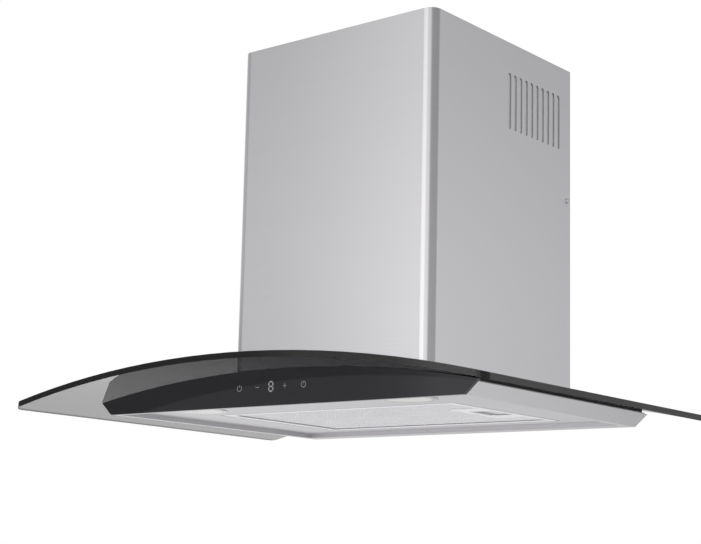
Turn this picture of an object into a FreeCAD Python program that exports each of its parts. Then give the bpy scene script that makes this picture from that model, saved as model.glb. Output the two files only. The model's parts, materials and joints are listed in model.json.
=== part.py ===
import FreeCAD, Part
import math
import os
from types import SimpleNamespace

import Sketcher

# Curved glass range hood, millimetres. X runs to the right, Y back to the wall, Z up.
# Sizes are taken from the wall (Y = 0) and from the body's lower edge; every piece is then
# lowered by hang_height, which puts the origin at the centre of the wall screws.
# "front" and "back" sizes are distances from the wall, so they lie at minus that in Y.

SIZES = {
    # arched stack: glass on a seal on a steel panel, all concentric
    "arch_radius": 1310.0,
    "crown_height": 43.0,
    "glass_wide": 600.0,
    "glass_front": 430.0,
    "glass_back": 2.0,
    "glass_thick": 6.0,
    "glass_corner": 12.0,
    "glass_back_corner": 6.0,
    "notch_gap": 4.0,
    "notch_corner": 6.0,
    "seal_thick": 2.0,
    "seal_wide": 10.0,
    "seal_inset": 2.0,
    "clamp_thick": 1.5,
    "clamp_wide": 18.0,
    "clamp_screw_inset": 9.0,
    "clamp_screw_side": 60.0,
    "clamp_screw_first": 40.0,
    "clamp_screw_spacing": 90.0,
    # steel body under the glass
    "sheet": 1.0,
    "body_front": 349.0,
    "body_back": 17.0,
    "body_front_half": 229.0,
    "body_back_half": 218.0,
    "bevel_out": 15.0,
    "fascia_gap": 0.5,
    "fascia_thick": 4.0,
    "rim_side": 8.0,
    "rim_front": 4.0,
    "rim_back": 19.0,
    "pan_recess": 5.0,
    "panel_setback": 4.0,
    "flange_wide": 12.0,
    "air_half": 88.0,
    "air_back": 30.0,
    "air_front": 222.0,
    # touch control
    "control_half_wide": 90.0,
    "control_low": 8.0,
    "control_tall": 20.0,
    "control_deep": 12.0,
    "control_wall": 1.5,
    "control_ear": 8.0,
    "ear_thick": 2.0,
    "window_half": 80.0,
    "window_edge": 3.0,
    "board_thick": 1.6,
    "key_near": 18.0,
    "key_far": 42.0,
    "key_height": 19.0,
    "key_radius": 3.5,
    "display_half": 8.0,
    "display_tall": 12.0,
    "fascia_screw_far": 200.0,
    "fascia_screw_height": 10.0,
    "fascia_screw_bite": 2.5,
    # grease filter
    "filter_wide": 304.0,
    "filter_deep": 196.0,
    "filter_tall": 9.0,
    "filter_centre": 160.0,
    "filter_gap": 2.0,
    "filter_border": 8.0,
    "filter_wall": 0.8,
    "mesh_layers": 5.0,
    "mesh_thick": 0.4,
    "tab_long": 7.0,
    "tab_wide": 24.0,
    "tab_thick": 1.0,
    "tab_gap": 0.3,
    "latch_plate_wide": 36.0,
    "latch_plate_front": 203.0,
    "latch_plate_back": 113.0,
    "latch_plate_thick": 1.2,
    "latch_centre": 158.0,
    "latch_wide": 20.0,
    "latch_long": 42.0,
    "latch_tall": 6.0,
    "latch_wall": 1.2,
    "latch_travel": 6.0,
    "latch_gap": 0.4,
    "latch_flange": 5.0,
    "tongue_long": 9.4,
    "tongue_wide": 16.0,
    "tongue_thick": 1.5,
    # lamps
    "lamp_side": 136.0,
    "lamp_front": 310.0,
    "lamp_radius": 29.0,
    "lamp_hole": 27.0,
    "lamp_lens_radius": 23.0,
    "lamp_lip": 1.0,
    "lamp_lens_thick": 2.0,
    "lamp_tall": 12.0,
    "lamp_wall": 1.2,
    "lamp_gap": 0.5,
    # blower box and its wall bracket
    "box_half": 100.0,
    "box_front": 232.0,
    "box_top": 246.0,
    "box_sheet": 1.2,
    "box_flange": 20.0,
    "bracket_half": 95.0,
    "bracket_low": 58.0,
    "bracket_high": 232.0,
    "bracket_sheet": 1.5,
    "bracket_lip": 12.0,
    "wall_screw_wide": 160.0,
    "wall_screw_tall": 140.0,
    "wall_screw_radius": 3.0,
    "hang_height": 145.0,
    "box_screw_side": 70.0,
    # fan, volute and motor; the volute is drawn from four centres
    "fan_back": 122.0,
    "fan_height": 136.0,
    "volute_step": 4.0,
    "volute_start": 72.0,
    "volute_inner_half": 52.0,
    "volute_wall": 2.0,
    "throat_wide": 74.0,
    "inlet_radius": 58.0,
    "inlet_lip": 5.0,
    "inlet_lip_tall": 4.0,
    "outlet_flange": 8.5,
    "lug_radius": 5.0,
    "lug_reach": 4.0,
    "lug_half": 10.0,
    "wheel_radius": 70.0,
    "wheel_half": 48.0,
    "blade_count": 32.0,
    "blade_deep": 14.0,
    "blade_thick": 1.2,
    "blade_bow": 3.0,
    "blade_lead": 7.0,
    "wheel_plate": 2.0,
    "wheel_ring": 3.0,
    "hub_radius": 11.0,
    "hub_long": 16.0,
    "shaft_radius": 4.0,
    "bush_play": 0.05,
    "bush_radius": 9.0,
    "bush_long": 6.0,
    "motor_radius": 38.0,
    "motor_start": 5.0,
    "motor_end": 60.0,
    "bell_thick": 6.0,
    "air_gap": 0.8,
    "rotor_radius": 20.0,
    "rotor_long": 36.0,
    "spider_thick": 2.0,
    "spider_arm": 16.0,
    "spider_reach": 70.0,
    "spider_boss": 24.0,
    "grommet_radius": 6.0,
    "small_screw": 2.0,
    "small_head": 3.1,
    "small_head_tall": 2.2,
    "hole_play": 0.3,
    # outlet collar and damper
    "collar_plate": 2.0,
    "collar_wall": 2.0,
    "collar_taper": 36.0,
    "spigot_radius": 59.5,
    "spigot_tall": 40.0,
    "damper_up": 16.0,
    "damper_pin_radius": 1.5,
    "damper_play": 0.05,
    "knuckle_radius": 3.0,
    "flap_thick": 1.2,
    "flap_gap": 1.2,
    "knuckle_gap": 0.5,
    "hinge_inset": 4.0,
    # chimney
    "chimney_half": 130.0,
    "chimney_front": 268.0,
    "chimney_top": 410.0,
    "chimney_bend": 12.0,
    "chimney_sheet": 0.8,
    "chimney_clear": 0.5,
    "slot_count": 10.0,
    "slot_first_back": 26.0,
    "slot_pitch": 11.1,
    "slot_wide": 6.0,
    "slot_low": 314.0,
    "slot_high": 376.0,
    "slide_gap": 0.8,
    "extension_low": 64.0,
    "extension_drop": 2.0,
    "extension_back": 14.0,
    "stop_tab": 20.0,
    "stop_tab_tall": 3.0,
    "ceiling_bracket_drop": 20.0,
    "bracket_tall": 16.0,
    "ear_long": 12.5,
    "ceiling_ear_long": 34.0,
    "chimney_bracket_low": 250.0,
    "chimney_screw_back": 6.0,
    "strap_screw_side": 60.0,
    "strap_screw_radius": 2.5,
    # terminal box
    "terminal_deep": 22.0,
    "terminal_front": 160.0,
    "terminal_back": 80.0,
    "terminal_low": 120.0,
    "terminal_high": 190.0,
    "terminal_wall": 2.0,
    "capacitor_radius": 7.0,
    "capacitor_long": 46.0,
    "gland_radius": 7.0,
    "gland_hole": 3.5,
    "gland_tall": 14.0,
    "post_radius": 4.0,
}

doc = FreeCAD.newDocument("curved_glass_hood")
sheet = doc.addObject("Spreadsheet::Sheet", "sizes")
for row, (alias, number) in enumerate(SIZES.items(), start=1):
    sheet.set("A%d" % row, alias)
    sheet.set("B%d" % row, str(number))
    sheet.setAlias("B%d" % row, alias)
doc.recompute()


class Term:
    """A number together with the sheet formula that gives it."""

    def __init__(self, text, value):
        self.text = text
        self.value = value

    def __add__(self, other):
        other = term(other)
        return Term("(%s + %s)" % (self.text, other.text), self.value + other.value)

    def __sub__(self, other):
        other = term(other)
        return Term("(%s - %s)" % (self.text, other.text), self.value - other.value)

    def __mul__(self, other):
        other = term(other)
        return Term("(%s * %s)" % (self.text, other.text), self.value * other.value)

    def __truediv__(self, other):
        other = term(other)
        return Term("(%s / %s)" % (self.text, other.text), self.value / other.value)

    def __radd__(self, other):
        return term(other) + self

    def __rsub__(self, other):
        return term(other) - self

    def __rmul__(self, other):
        return term(other) * self

    def __neg__(self):
        return term(0) - self


def term(number):
    if isinstance(number, Term):
        return number
    return Term("(%.10g)" % number, float(number))


def root(number):
    return Term("sqrt(%s)" % number.text, math.sqrt(number.value))


def arcsine(number):
    return Term("asin(%s)" % number.text, math.degrees(math.asin(number.value)))


v = SimpleNamespace()
for alias in SIZES:
    setattr(v, alias, Term("sizes." + alias, float(sheet.get(alias))))

ORIGIN = FreeCAD.Vector(0, 0, 0)
TURNS = {
    "X": FreeCAD.Rotation(FreeCAD.Vector(0, 1, 0), 90),
    "Y": FreeCAD.Rotation(FreeCAD.Vector(1, 0, 0), -90),
    "Z": FreeCAD.Rotation(),
}
SIDES = {"left": -1, "right": 1}
MARGIN = 20.0
finished = []


# ---- drawing helpers -------------------------------------------------------------------

def bind(item, path, goal):
    item.setExpression(path, term(goal).text)


def place(item, x, y, z):
    bind(item, "Placement.Base.x", x)
    bind(item, "Placement.Base.y", y)
    bind(item, "Placement.Base.z", z)


def box(x, y, z):
    """A block between pairs of low and high values."""
    item = doc.addObject("Part::Box", "block")
    bind(item, "Length", x[1] - x[0])
    bind(item, "Width", y[1] - y[0])
    bind(item, "Height", z[1] - z[0])
    place(item, x[0], y[0], z[0])
    return item


def rod(axis, radius, low, high, centre):
    """A round bar along an axis; centre gives its other two coordinates in X, Y, Z order."""
    item = doc.addObject("Part::Cylinder", "bar")
    item.Placement = FreeCAD.Placement(ORIGIN, TURNS[axis])
    bind(item, "Radius", radius)
    bind(item, "Height", high - low)
    spot = list(centre)
    spot.insert("XYZ".index(axis), low)
    place(item, *spot)
    return item


def leaning_rod(radius, low, high, x, back):
    """A round bar square to the arch, between two radii of it, at a width x."""
    side = 1 if x.value > 0 else -1
    lean = x / v.arch_radius
    item = doc.addObject("Part::Cylinder", "bar")
    item.Placement = FreeCAD.Placement(ORIGIN, FreeCAD.Rotation(FreeCAD.Vector(0, side, 0), 5))
    bind(item, "Radius", radius)
    bind(item, "Height", high - low)
    bind(item, "Placement.Rotation.Angle", arcsine(lean * side))
    place(item, low * lean, -back, arch_axis + low * root(1 - lean * lean))
    return item


def fuse(*items):
    item = doc.addObject("Part::MultiFuse", "joined")
    item.Shapes = list(items)
    return item


def cut(base, *tools):
    item = doc.addObject("Part::Cut", "cut")
    item.Base = base
    item.Tool = tools[0] if len(tools) == 1 else fuse(*tools)
    return item


def common(first, second):
    item = doc.addObject("Part::MultiCommon", "shared")
    item.Shapes = [first, second]
    return item


def group(items):
    item = doc.addObject("Part::Compound", "group")
    item.Links = list(items)
    return item


def finish(item, label, y=0, z=0):
    """Name a piece, set it at y and z and lower it to the origin at the wall screws."""
    item.Label = label
    bind(item, "Placement.Base.y", y)
    bind(item, "Placement.Base.z", z - v.hang_height)
    finished.append(item)
    return item


def new_body(name):
    return doc.addObject("PartDesign::Body", name)


def new_sketch(body, plane, offset):
    sketch = body.newObject("Sketcher::SketchObject", body.Name + "_sketch")
    support = [part for part in body.Origin.OriginFeatures if part.Role == plane + "_Plane"]
    sketch.AttachmentSupport = (support[0], [""])
    sketch.MapMode = "FlatFace"
    bind(sketch, "AttachmentOffset.Base.z", offset)
    return sketch


def hold(sketch, kind, geometry, point, goal):
    """Fix a point of a sketch at a distance from the sketch's origin."""
    number = sketch.addConstraint(Sketcher.Constraint(kind, -1, 1, geometry, point, goal.value))
    bind(sketch, "Constraints[%d]" % number, goal)


def hold_radius(sketch, geometry, goal):
    number = sketch.addConstraint(Sketcher.Constraint("Radius", geometry, goal.value))
    bind(sketch, "Constraints[%d]" % number, goal)


def arc_between(start, end, radius, turn):
    """The short arc from start to end, turning left or right as it goes."""
    middle = (start + end) * 0.5
    along = end - start
    reach = math.sqrt(max(radius ** 2 - (along.Length / 2) ** 2, 0.0))
    left = FreeCAD.Vector(-along.y, along.x, 0).normalize()
    side = 1 if turn == "left" else -1
    centre = middle + left * (reach * side)
    first, last = (start, end) if turn == "left" else (end, start)
    angles = [math.atan2(p.y - centre.y, p.x - centre.x) for p in (first, last)]
    circle = Part.Circle(centre, FreeCAD.Vector(0, 0, 1), radius)
    return Part.ArcOfCircle(circle, angles[0], angles[1])


def draw(sketch, outline):
    """A closed outline. A corner is (u, v), or (u, v, turn, radius) where an arc leaves it."""
    first = sketch.GeometryCount
    corners = [[term(corner[0]), term(corner[1])] + list(corner[2:]) for corner in outline]
    spots = [FreeCAD.Vector(corner[0].value, corner[1].value, 0) for corner in corners]
    ends = []
    for index, corner in enumerate(corners):
        start = spots[index]
        end = spots[(index + 1) % len(spots)]
        if len(corner) == 2:
            sketch.addGeometry(Part.LineSegment(start, end))
            ends.append((1, 2))
        else:
            radius = term(corner[3])
            sketch.addGeometry(arc_between(start, end, radius.value, corner[2]))
            ends.append((1, 2) if corner[2] == "left" else (2, 1))
    for index in range(len(corners)):
        after = (index + 1) % len(corners)
        sketch.addConstraint(Sketcher.Constraint(
            "Coincident", first + index, ends[index][1], first + after, ends[after][0]))
    for index, corner in enumerate(corners):
        hold(sketch, "DistanceX", first + index, ends[index][0], corner[0])
        hold(sketch, "DistanceY", first + index, ends[index][0], corner[1])
        if len(corner) == 4:
            hold_radius(sketch, first + index, term(corner[3]))


def draw_circle(sketch, x, y, radius):
    x, y, radius = term(x), term(y), term(radius)
    spot = FreeCAD.Vector(x.value, y.value, 0)
    circle = Part.Circle(spot, FreeCAD.Vector(0, 0, 1), radius.value)
    number = sketch.addGeometry(circle)
    hold(sketch, "DistanceX", number, 3, x)
    hold(sketch, "DistanceY", number, 3, y)
    hold_radius(sketch, number, radius)


def slab(body, kind, plane, low, high, outlines, circles):
    """A pad or pocket between two coordinates along the plane's axis."""
    low, high = term(low), term(high)
    sketch = new_sketch(body, plane, -high if plane == "XZ" else low)
    for outline in outlines:
        draw(sketch, outline)
    for circle in circles:
        draw_circle(sketch, *circle)
    feature = body.newObject("PartDesign::" + kind, body.Name + "_" + kind.lower())
    feature.Profile = sketch
    bind(feature, "Length", high - low)
    feature.Reversed = kind == "Pocket"
    return feature


def pad(body, plane, low, high, outlines=(), circles=()):
    return slab(body, "Pad", plane, low, high, outlines, circles)


def pocket(body, plane, low, high, outlines=(), circles=()):
    doc.recompute()
    before = body.Shape.Volume
    feature = slab(body, "Pocket", plane, low, high, outlines, circles)
    doc.recompute()
    if body.Shape.Volume >= before:
        raise RuntimeError("a pocket of %s cuts nothing" % body.Name)
    return feature


def prism(plane, low, high, outlines=(), circles=()):
    body = new_body("prism")
    pad(body, plane, low, high, outlines, circles)
    return body


def rectangle(x, y):
    return [(x[0], y[0]), (x[1], y[0]), (x[1], y[1]), (x[0], y[1])]


def screw(axis, seat, tip, centre, radius=None, head=None):
    """A pan-head screw: seat is where its head rests, tip is its far end."""
    radius = v.small_screw if radius is None else radius
    head = v.small_head if head is None else head
    seat, tip = term(seat), term(tip)
    if tip.value > seat.value:
        shank = rod(axis, radius, seat, tip, centre)
        top = rod(axis, head, seat - v.small_head_tall, seat, centre)
    else:
        shank = rod(axis, radius, tip, seat, centre)
        top = rod(axis, head, seat, seat + v.small_head_tall, centre)
    return fuse(shank, top)


# ---- the arched stack ------------------------------------------------------------------

arch_axis = v.crown_height - v.arch_radius
glass_under = v.arch_radius - v.glass_thick
panel_top = glass_under - v.seal_thick
panel_under = panel_top - v.sheet
flange_top = panel_top + v.box_sheet
clamp_top = v.arch_radius + v.clamp_thick
fascia_top = glass_under - v.fascia_gap
notch_half = v.box_half + v.notch_gap
notch_front = v.box_front + v.notch_gap
clamp_half = notch_half + v.clamp_wide
clamp_front = notch_front + v.clamp_wide
plan_low = -v.crown_height
plan_high = 2 * v.crown_height


def arch_height(radius, x):
    return arch_axis + root(radius * radius - x * x)


def arch_drum(radius):
    """The round bar whose top is one layer of the arch."""
    return rod("Y", radius, -(v.glass_front + MARGIN), term(MARGIN), (0, arch_axis))


def arched_plate(plan, low, high):
    """The part of a plan prism that lies between two radii of the arch."""
    return cut(common(plan, arch_drum(high)), arch_drum(low))


def clamp_spots():
    """Width and distance from the wall of each glass screw."""
    side = notch_half + v.clamp_screw_inset
    spots = []
    for sign in (-1, 1):
        for step in range(3):
            spots.append((sign * side, v.clamp_screw_first + step * v.clamp_screw_spacing))
        spots.append((sign * v.clamp_screw_side, notch_front + v.clamp_screw_inset))
    return spots


def clamp_holes(radius, low, high):
    return [leaning_rod(radius, low, high, x, back) for x, back in clamp_spots()]


def horseshoe(inner_half, inner_front, outer_half, outer_front, back):
    """A flat U round the blower box, open to the wall."""
    return [(-outer_half, -outer_front), (outer_half, -outer_front), (outer_half, -back),
            (inner_half, -back), (inner_half, -inner_front), (-inner_half, -inner_front),
            (-inner_half, -back), (-outer_half, -back)]


def make_glass():
    side = v.glass_wide / 2
    front = v.glass_front
    back = v.glass_back
    corner = v.glass_corner
    small = v.glass_back_corner
    inner = v.notch_corner
    outline = [
        (corner - side, -front),
        (side - corner, -front, "left", corner),
        (side, corner - front),
        (side, -back - small, "left", small),
        (side - small, -back),
        (notch_half, -back),
        (notch_half, inner - notch_front, "right", inner),
        (notch_half - inner, -notch_front),
        (inner - notch_half, -notch_front, "right", inner),
        (-notch_half, inner - notch_front),
        (-notch_half, -back),
        (small - side, -back, "left", small),
        (-side, -back - small),
        (-side, corner - front, "left", corner),
    ]
    plate = arched_plate(prism("XY", plan_low, plan_high, [outline]), glass_under, v.arch_radius)
    holes = clamp_holes(v.small_screw + 2 * v.hole_play + v.sheet, panel_under, clamp_top)
    finish(cut(plate, *holes), "glass_canopy")


def make_glass_clamp():
    through = v.small_screw + v.hole_play
    plan = prism("XY", plan_low, plan_high, [horseshoe(
        notch_half, notch_front, clamp_half, clamp_front, v.body_back)])
    plate = arched_plate(plan, v.arch_radius, clamp_top)
    finish(cut(plate, *clamp_holes(through, glass_under, clamp_top + MARGIN)), "glass_clamp")

    seal = prism("XY", plan_low, plan_high, [horseshoe(
        notch_half, notch_front, v.box_half + v.box_flange, v.box_front + v.box_flange,
        v.body_back)])
    collar = arched_plate(seal, flange_top, glass_under)
    finish(cut(collar, *clamp_holes(through, panel_under, v.arch_radius)), "collar_seal")

    screws = []
    nuts = []
    nut_tall = 2 * v.small_head_tall
    for x, back in clamp_spots():
        shank = leaning_rod(v.small_screw, panel_under - nut_tall, clamp_top, x, back)
        head = leaning_rod(v.small_head, clamp_top, clamp_top + v.small_head_tall, x, back)
        screws.append(fuse(shank, head))
        nut = leaning_rod(v.small_head, panel_under - nut_tall, panel_under, x, back)
        bore = leaning_rod(v.small_screw, panel_under - 2 * nut_tall, panel_top, x, back)
        nuts.append(cut(nut, bore))
    finish(group(screws), "glass_screws")
    finish(group(nuts), "glass_nuts")


# ---- the steel body --------------------------------------------------------------------

bevel_height = arch_height(fascia_top, v.body_front_half + v.bevel_out)
pan_top = v.pan_recess + v.sheet


def half_at(distance):
    """Half width of the body's lower edge at a distance from the wall."""
    share = (v.body_front - distance) / (v.body_front - v.body_back)
    return v.body_front_half - (v.body_front_half - v.body_back_half) * share


def tapered(front, back, widen):
    """Plan outline between two distances from the wall, wider than the lower edge by widen."""
    near = half_at(front) + widen
    far = half_at(back) + widen
    return [(-near, -front), (near, -front), (far, -back), (-far, -back)]


def bevelled_form(front, back, inset):
    """Loft with bevelled sides, open towards the arch; inset is the wall to leave outside."""
    slope = v.bevel_out / bevel_height
    shift = inset * root(1 + slope * slope)
    top = plan_high
    body = new_body("bevelled_form")
    sections = []
    for distance in (front, back):
        low_half = half_at(distance) + slope * inset - shift
        high_half = half_at(distance) + v.bevel_out - inset
        knee = (v.bevel_out - inset + shift) / slope
        sketch = new_sketch(body, "XZ", distance)
        draw(sketch, [(-low_half, inset), (low_half, inset), (high_half, knee), (high_half, top),
                      (-high_half, top), (-high_half, knee)])
        sections.append(sketch)
    loft = body.newObject("PartDesign::AdditiveLoft", "bevelled_loft")
    loft.Profile = sections[0]
    loft.Sections = sections[1:]
    loft.Ruled = True
    return body


def recess_distances():
    return v.body_front - v.rim_front, v.body_back + v.rim_back


def filter_hole(grow):
    side = v.filter_wide / 2 + grow
    half_deep = v.filter_deep / 2 + grow
    return rectangle((-side, side), (-v.filter_centre - half_deep, half_deep - v.filter_centre))


def fascia_screw_spots():
    """Width, height and seat depth of each fascia screw, seen from inside the body."""
    inner_wall = v.sheet - v.body_front
    ear_height = v.control_low + v.control_tall / 2
    ear_middle = v.control_half_wide + v.control_ear / 2
    spots = []
    for sign in (-1, 1):
        spots.append((sign * v.fascia_screw_far, v.fascia_screw_height, inner_wall))
        spots.append((sign * ear_middle, ear_height, inner_wall + v.ear_thick))
    return spots


def make_hood_body():
    zero = term(0)
    outer = common(bevelled_form(v.body_front, v.body_back, zero), arch_drum(panel_under))
    hollow = common(
        bevelled_form(v.body_front - v.sheet, v.body_back + v.sheet, v.sheet),
        arch_drum(panel_under - v.sheet))
    front, back = recess_distances()
    pan = prism("XY", -MARGIN, pan_top, [tapered(front + v.sheet, back - v.sheet,
                                                 v.sheet - v.rim_side)])
    recess = prism("XY", -MARGIN, v.pan_recess, [tapered(front, back, -v.rim_side)])
    mouth = prism("XY", pan_top + v.sheet, plan_high, [tapered(
        v.body_front - v.flange_wide, v.body_back + v.flange_wide,
        v.bevel_out - v.panel_setback - v.flange_wide)])
    opening = prism("XY", -MARGIN, pan_top + v.sheet, [filter_hole(v.filter_gap)])
    lamps = [rod("Z", v.lamp_hole, -term(MARGIN), pan_top + v.sheet,
                 (sign * v.lamp_side, -v.lamp_front)) for sign in (-1, 1)]
    window_low = v.control_low + v.window_edge
    window = box((-v.window_half, v.window_half),
                 (-v.body_front - v.sheet, 2 * v.sheet - v.body_front),
                 (window_low, window_low + v.control_tall - 2 * v.window_edge))
    holes = [rod("Y", v.small_screw + v.hole_play, -v.body_front - v.sheet,
                 2 * v.sheet - v.body_front, (x, z)) for x, z, seat in fascia_screw_spots()]
    finish(cut(outer, cut(hollow, pan), recess, mouth, opening, window, *lamps, *holes),
           "hood_body")


def make_top_panel():
    edge = v.bevel_out - v.panel_setback
    hole = rectangle((-v.air_half, v.air_half), (-v.air_front, -v.air_back))
    plan = prism("XY", plan_low, plan_high, [tapered(v.body_front, v.body_back, edge), hole])
    plate = arched_plate(plan, panel_under, panel_top)
    finish(cut(plate, *clamp_holes(v.small_screw + v.hole_play, panel_under - v.sheet,
                                   glass_under)), "top_panel")

    outer = edge - v.seal_inset
    front = v.body_front - v.seal_inset
    back = v.body_back + v.seal_inset
    ring = prism("XY", plan_low, plan_high, [
        tapered(front, back, outer),
        tapered(front - v.seal_wide, back + v.seal_wide, outer - v.seal_wide)])
    flange = v.box_half + v.box_flange + v.notch_gap
    gap = box((-flange, flange), (-back - v.seal_wide - v.sheet, term(0)),
              (plan_low, plan_high))
    finish(arched_plate(cut(ring, gap), panel_top, glass_under), "glass_seal")


def make_fascia():
    side = v.body_front_half
    wide = side + v.bevel_out
    plate = new_body("control_fascia")
    pad(plate, "XZ", -v.body_front - v.fascia_thick, -v.body_front, [[
        (-side, 0), (side, 0), (wide, bevel_height, "left", fascia_top), (-wide, bevel_height)]])
    pocket(plate, "XZ", -v.body_front - v.fascia_screw_bite, -v.body_front,
           circles=[(x, z, v.small_screw) for x, z, seat in fascia_screw_spots()])
    finish(plate, "control_fascia")
    screws = [screw("Y", seat, -v.body_front - v.fascia_screw_bite, (x, z))
              for x, z, seat in fascia_screw_spots()]
    finish(group(screws), "fascia_screws")


def make_controls():
    wall_inner = v.sheet - v.body_front
    low = v.control_low
    high = low + v.control_tall
    back = wall_inner + v.control_deep
    board_back = back - v.control_wall
    board_front = board_back - v.board_thick
    housing = new_body("control_housing")
    pad(housing, "XZ", wall_inner, back, [rectangle((-v.control_half_wide, v.control_half_wide),
                                                    (low, high))])
    pad(housing, "XZ", wall_inner, wall_inner + v.ear_thick, [rectangle(
        (-v.control_half_wide - v.control_ear, v.control_half_wide + v.control_ear),
        (low + v.window_edge, high - v.window_edge))])
    inner = v.control_half_wide - v.control_wall
    pocket(housing, "XZ", wall_inner, board_back, [rectangle(
        (-inner, inner), (low + v.control_wall, high - v.control_wall))])
    ears = [spot for spot in fascia_screw_spots() if spot[2].text != wall_inner.text]
    pocket(housing, "XZ", wall_inner, wall_inner + v.ear_thick,
           circles=[(x, z, v.small_screw + v.hole_play) for x, z, seat in ears])
    finish(housing, "control_housing")

    board = new_body("control_board")
    pad(board, "XZ", board_front, board_back, [rectangle(
        (-inner, inner), (low + v.control_wall, high - v.control_wall))])
    finish(board, "control_board")

    display = new_body("display_module")
    pad(display, "XZ", -v.body_front, board_front, [rectangle(
        (-v.display_half, v.display_half),
        (v.key_height - v.display_tall / 2, v.key_height + v.display_tall / 2))])
    finish(display, "display_module")

    contacts = new_body("touch_contacts")
    spots = [-v.key_far, -v.key_near, v.key_near, v.key_far]
    pad(contacts, "XZ", -v.body_front, board_front,
        circles=[(x, v.key_height, v.key_radius) for x in spots])
    finish(contacts, "touch_contacts")


# ---- grease filter ---------------------------------------------------------------------

filter_side = v.filter_wide / 2
filter_low = v.pan_recess
filter_high = v.pan_recess + v.filter_tall
filter_front = -v.filter_centre - v.filter_deep / 2
filter_back = v.filter_deep / 2 - v.filter_centre
inner_side = filter_side - v.filter_border
plate_left = inner_side - v.latch_plate_wide
latch_right = inner_side - v.latch_gap
latch_left = latch_right - v.latch_wide
tongue_low = pan_top + v.tab_gap


def filter_ring(inset):
    """Plan rectangle inset from the outside of the filter frame."""
    return filter_hole(-inset)


def latch_rectangle(left, right, half_long):
    return rectangle((left, right), (-v.latch_centre - half_long, half_long - v.latch_centre))


def make_filter():
    wall = v.filter_wall
    frame = new_body("filter_frame")
    pad(frame, "XY", filter_low, filter_high,
        [filter_ring(term(0)), filter_ring(v.filter_border)])
    pocket(frame, "XY", filter_low + wall, filter_high - wall,
           [filter_ring(wall), filter_ring(v.filter_border + wall)])
    tab_low = pan_top + v.tab_gap
    for sign in (-1, 1):
        middle = sign * v.filter_deep / 4 - v.filter_centre
        pad(frame, "XY", tab_low, tab_low + v.tab_thick, [rectangle(
            (-filter_side - v.tab_long, wall / 2 - filter_side),
            (middle - v.tab_wide / 2, middle + v.tab_wide / 2))])
    pocket(frame, "XY", tongue_low - v.latch_gap, tongue_low + v.tongue_thick + v.latch_gap,
           [latch_rectangle(filter_side - 2 * wall, filter_side + wall,
                            v.tongue_wide / 2 + v.latch_gap)])
    finish(frame, "filter_frame")

    # layers of mesh that fill the frame's channel and stop short of the latch
    edge = filter_side - wall
    outline = [
        (-edge, filter_front + wall), (edge, filter_front + wall),
        (edge, -v.latch_plate_front), (plate_left, -v.latch_plate_front),
        (plate_left, -v.latch_plate_back), (edge, -v.latch_plate_back),
        (edge, filter_back - wall), (-edge, filter_back - wall)]
    mesh = new_body("filter_mesh")
    pitch = (v.filter_tall - 2 * wall - v.mesh_thick) / (v.mesh_layers - 1)
    for layer in range(int(v.mesh_layers.value)):
        low = filter_low + wall + layer * pitch
        pad(mesh, "XY", low, low + v.mesh_thick, [outline])
    finish(mesh, "filter_mesh")

    # a tray over the latch, with a window that the latch slides in
    floor = filter_low + v.latch_plate_thick
    roof = floor + v.latch_tall + v.latch_gap
    plate = new_body("filter_latch_plate")
    pad(plate, "XY", filter_low, roof + v.latch_wall, [rectangle(
        (plate_left, inner_side), (-v.latch_plate_front, -v.latch_plate_back))])
    pocket(plate, "XY", floor, roof, [rectangle(
        (plate_left + v.latch_wall, inner_side + v.sheet),
        (v.latch_wall - v.latch_plate_front, -v.latch_plate_back - v.latch_wall))])
    pocket(plate, "XY", filter_low - v.sheet, floor + v.latch_gap, [latch_rectangle(
        latch_left - v.latch_travel - v.latch_gap, inner_side + v.sheet,
        v.latch_long / 2 + v.latch_gap)])
    finish(plate, "filter_latch_plate")

    # a finger cup with a flange above the plate and a tongue through the frame
    half_long = v.latch_long / 2
    flange_low = floor + v.latch_gap
    hollow = latch_rectangle(latch_left + v.latch_wall, latch_right - v.latch_wall,
                             half_long - v.latch_wall)
    latch = new_body("filter_latch")
    pad(latch, "XY", filter_low, filter_low + v.latch_tall, [
        latch_rectangle(latch_left, latch_right, half_long)])
    pad(latch, "XY", flange_low, flange_low + v.latch_wall, [
        latch_rectangle(latch_left, latch_right, half_long + v.latch_flange)])
    pocket(latch, "XY", filter_low, filter_low + v.latch_tall - v.latch_wall, [hollow])
    pad(latch, "XY", tongue_low, tongue_low + v.tongue_thick, [latch_rectangle(
        latch_right - v.latch_wall / 2, latch_right + v.tongue_long, v.tongue_wide / 2)])
    finish(latch, "filter_latch")


# ---- lamps -----------------------------------------------------------------------------

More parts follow.
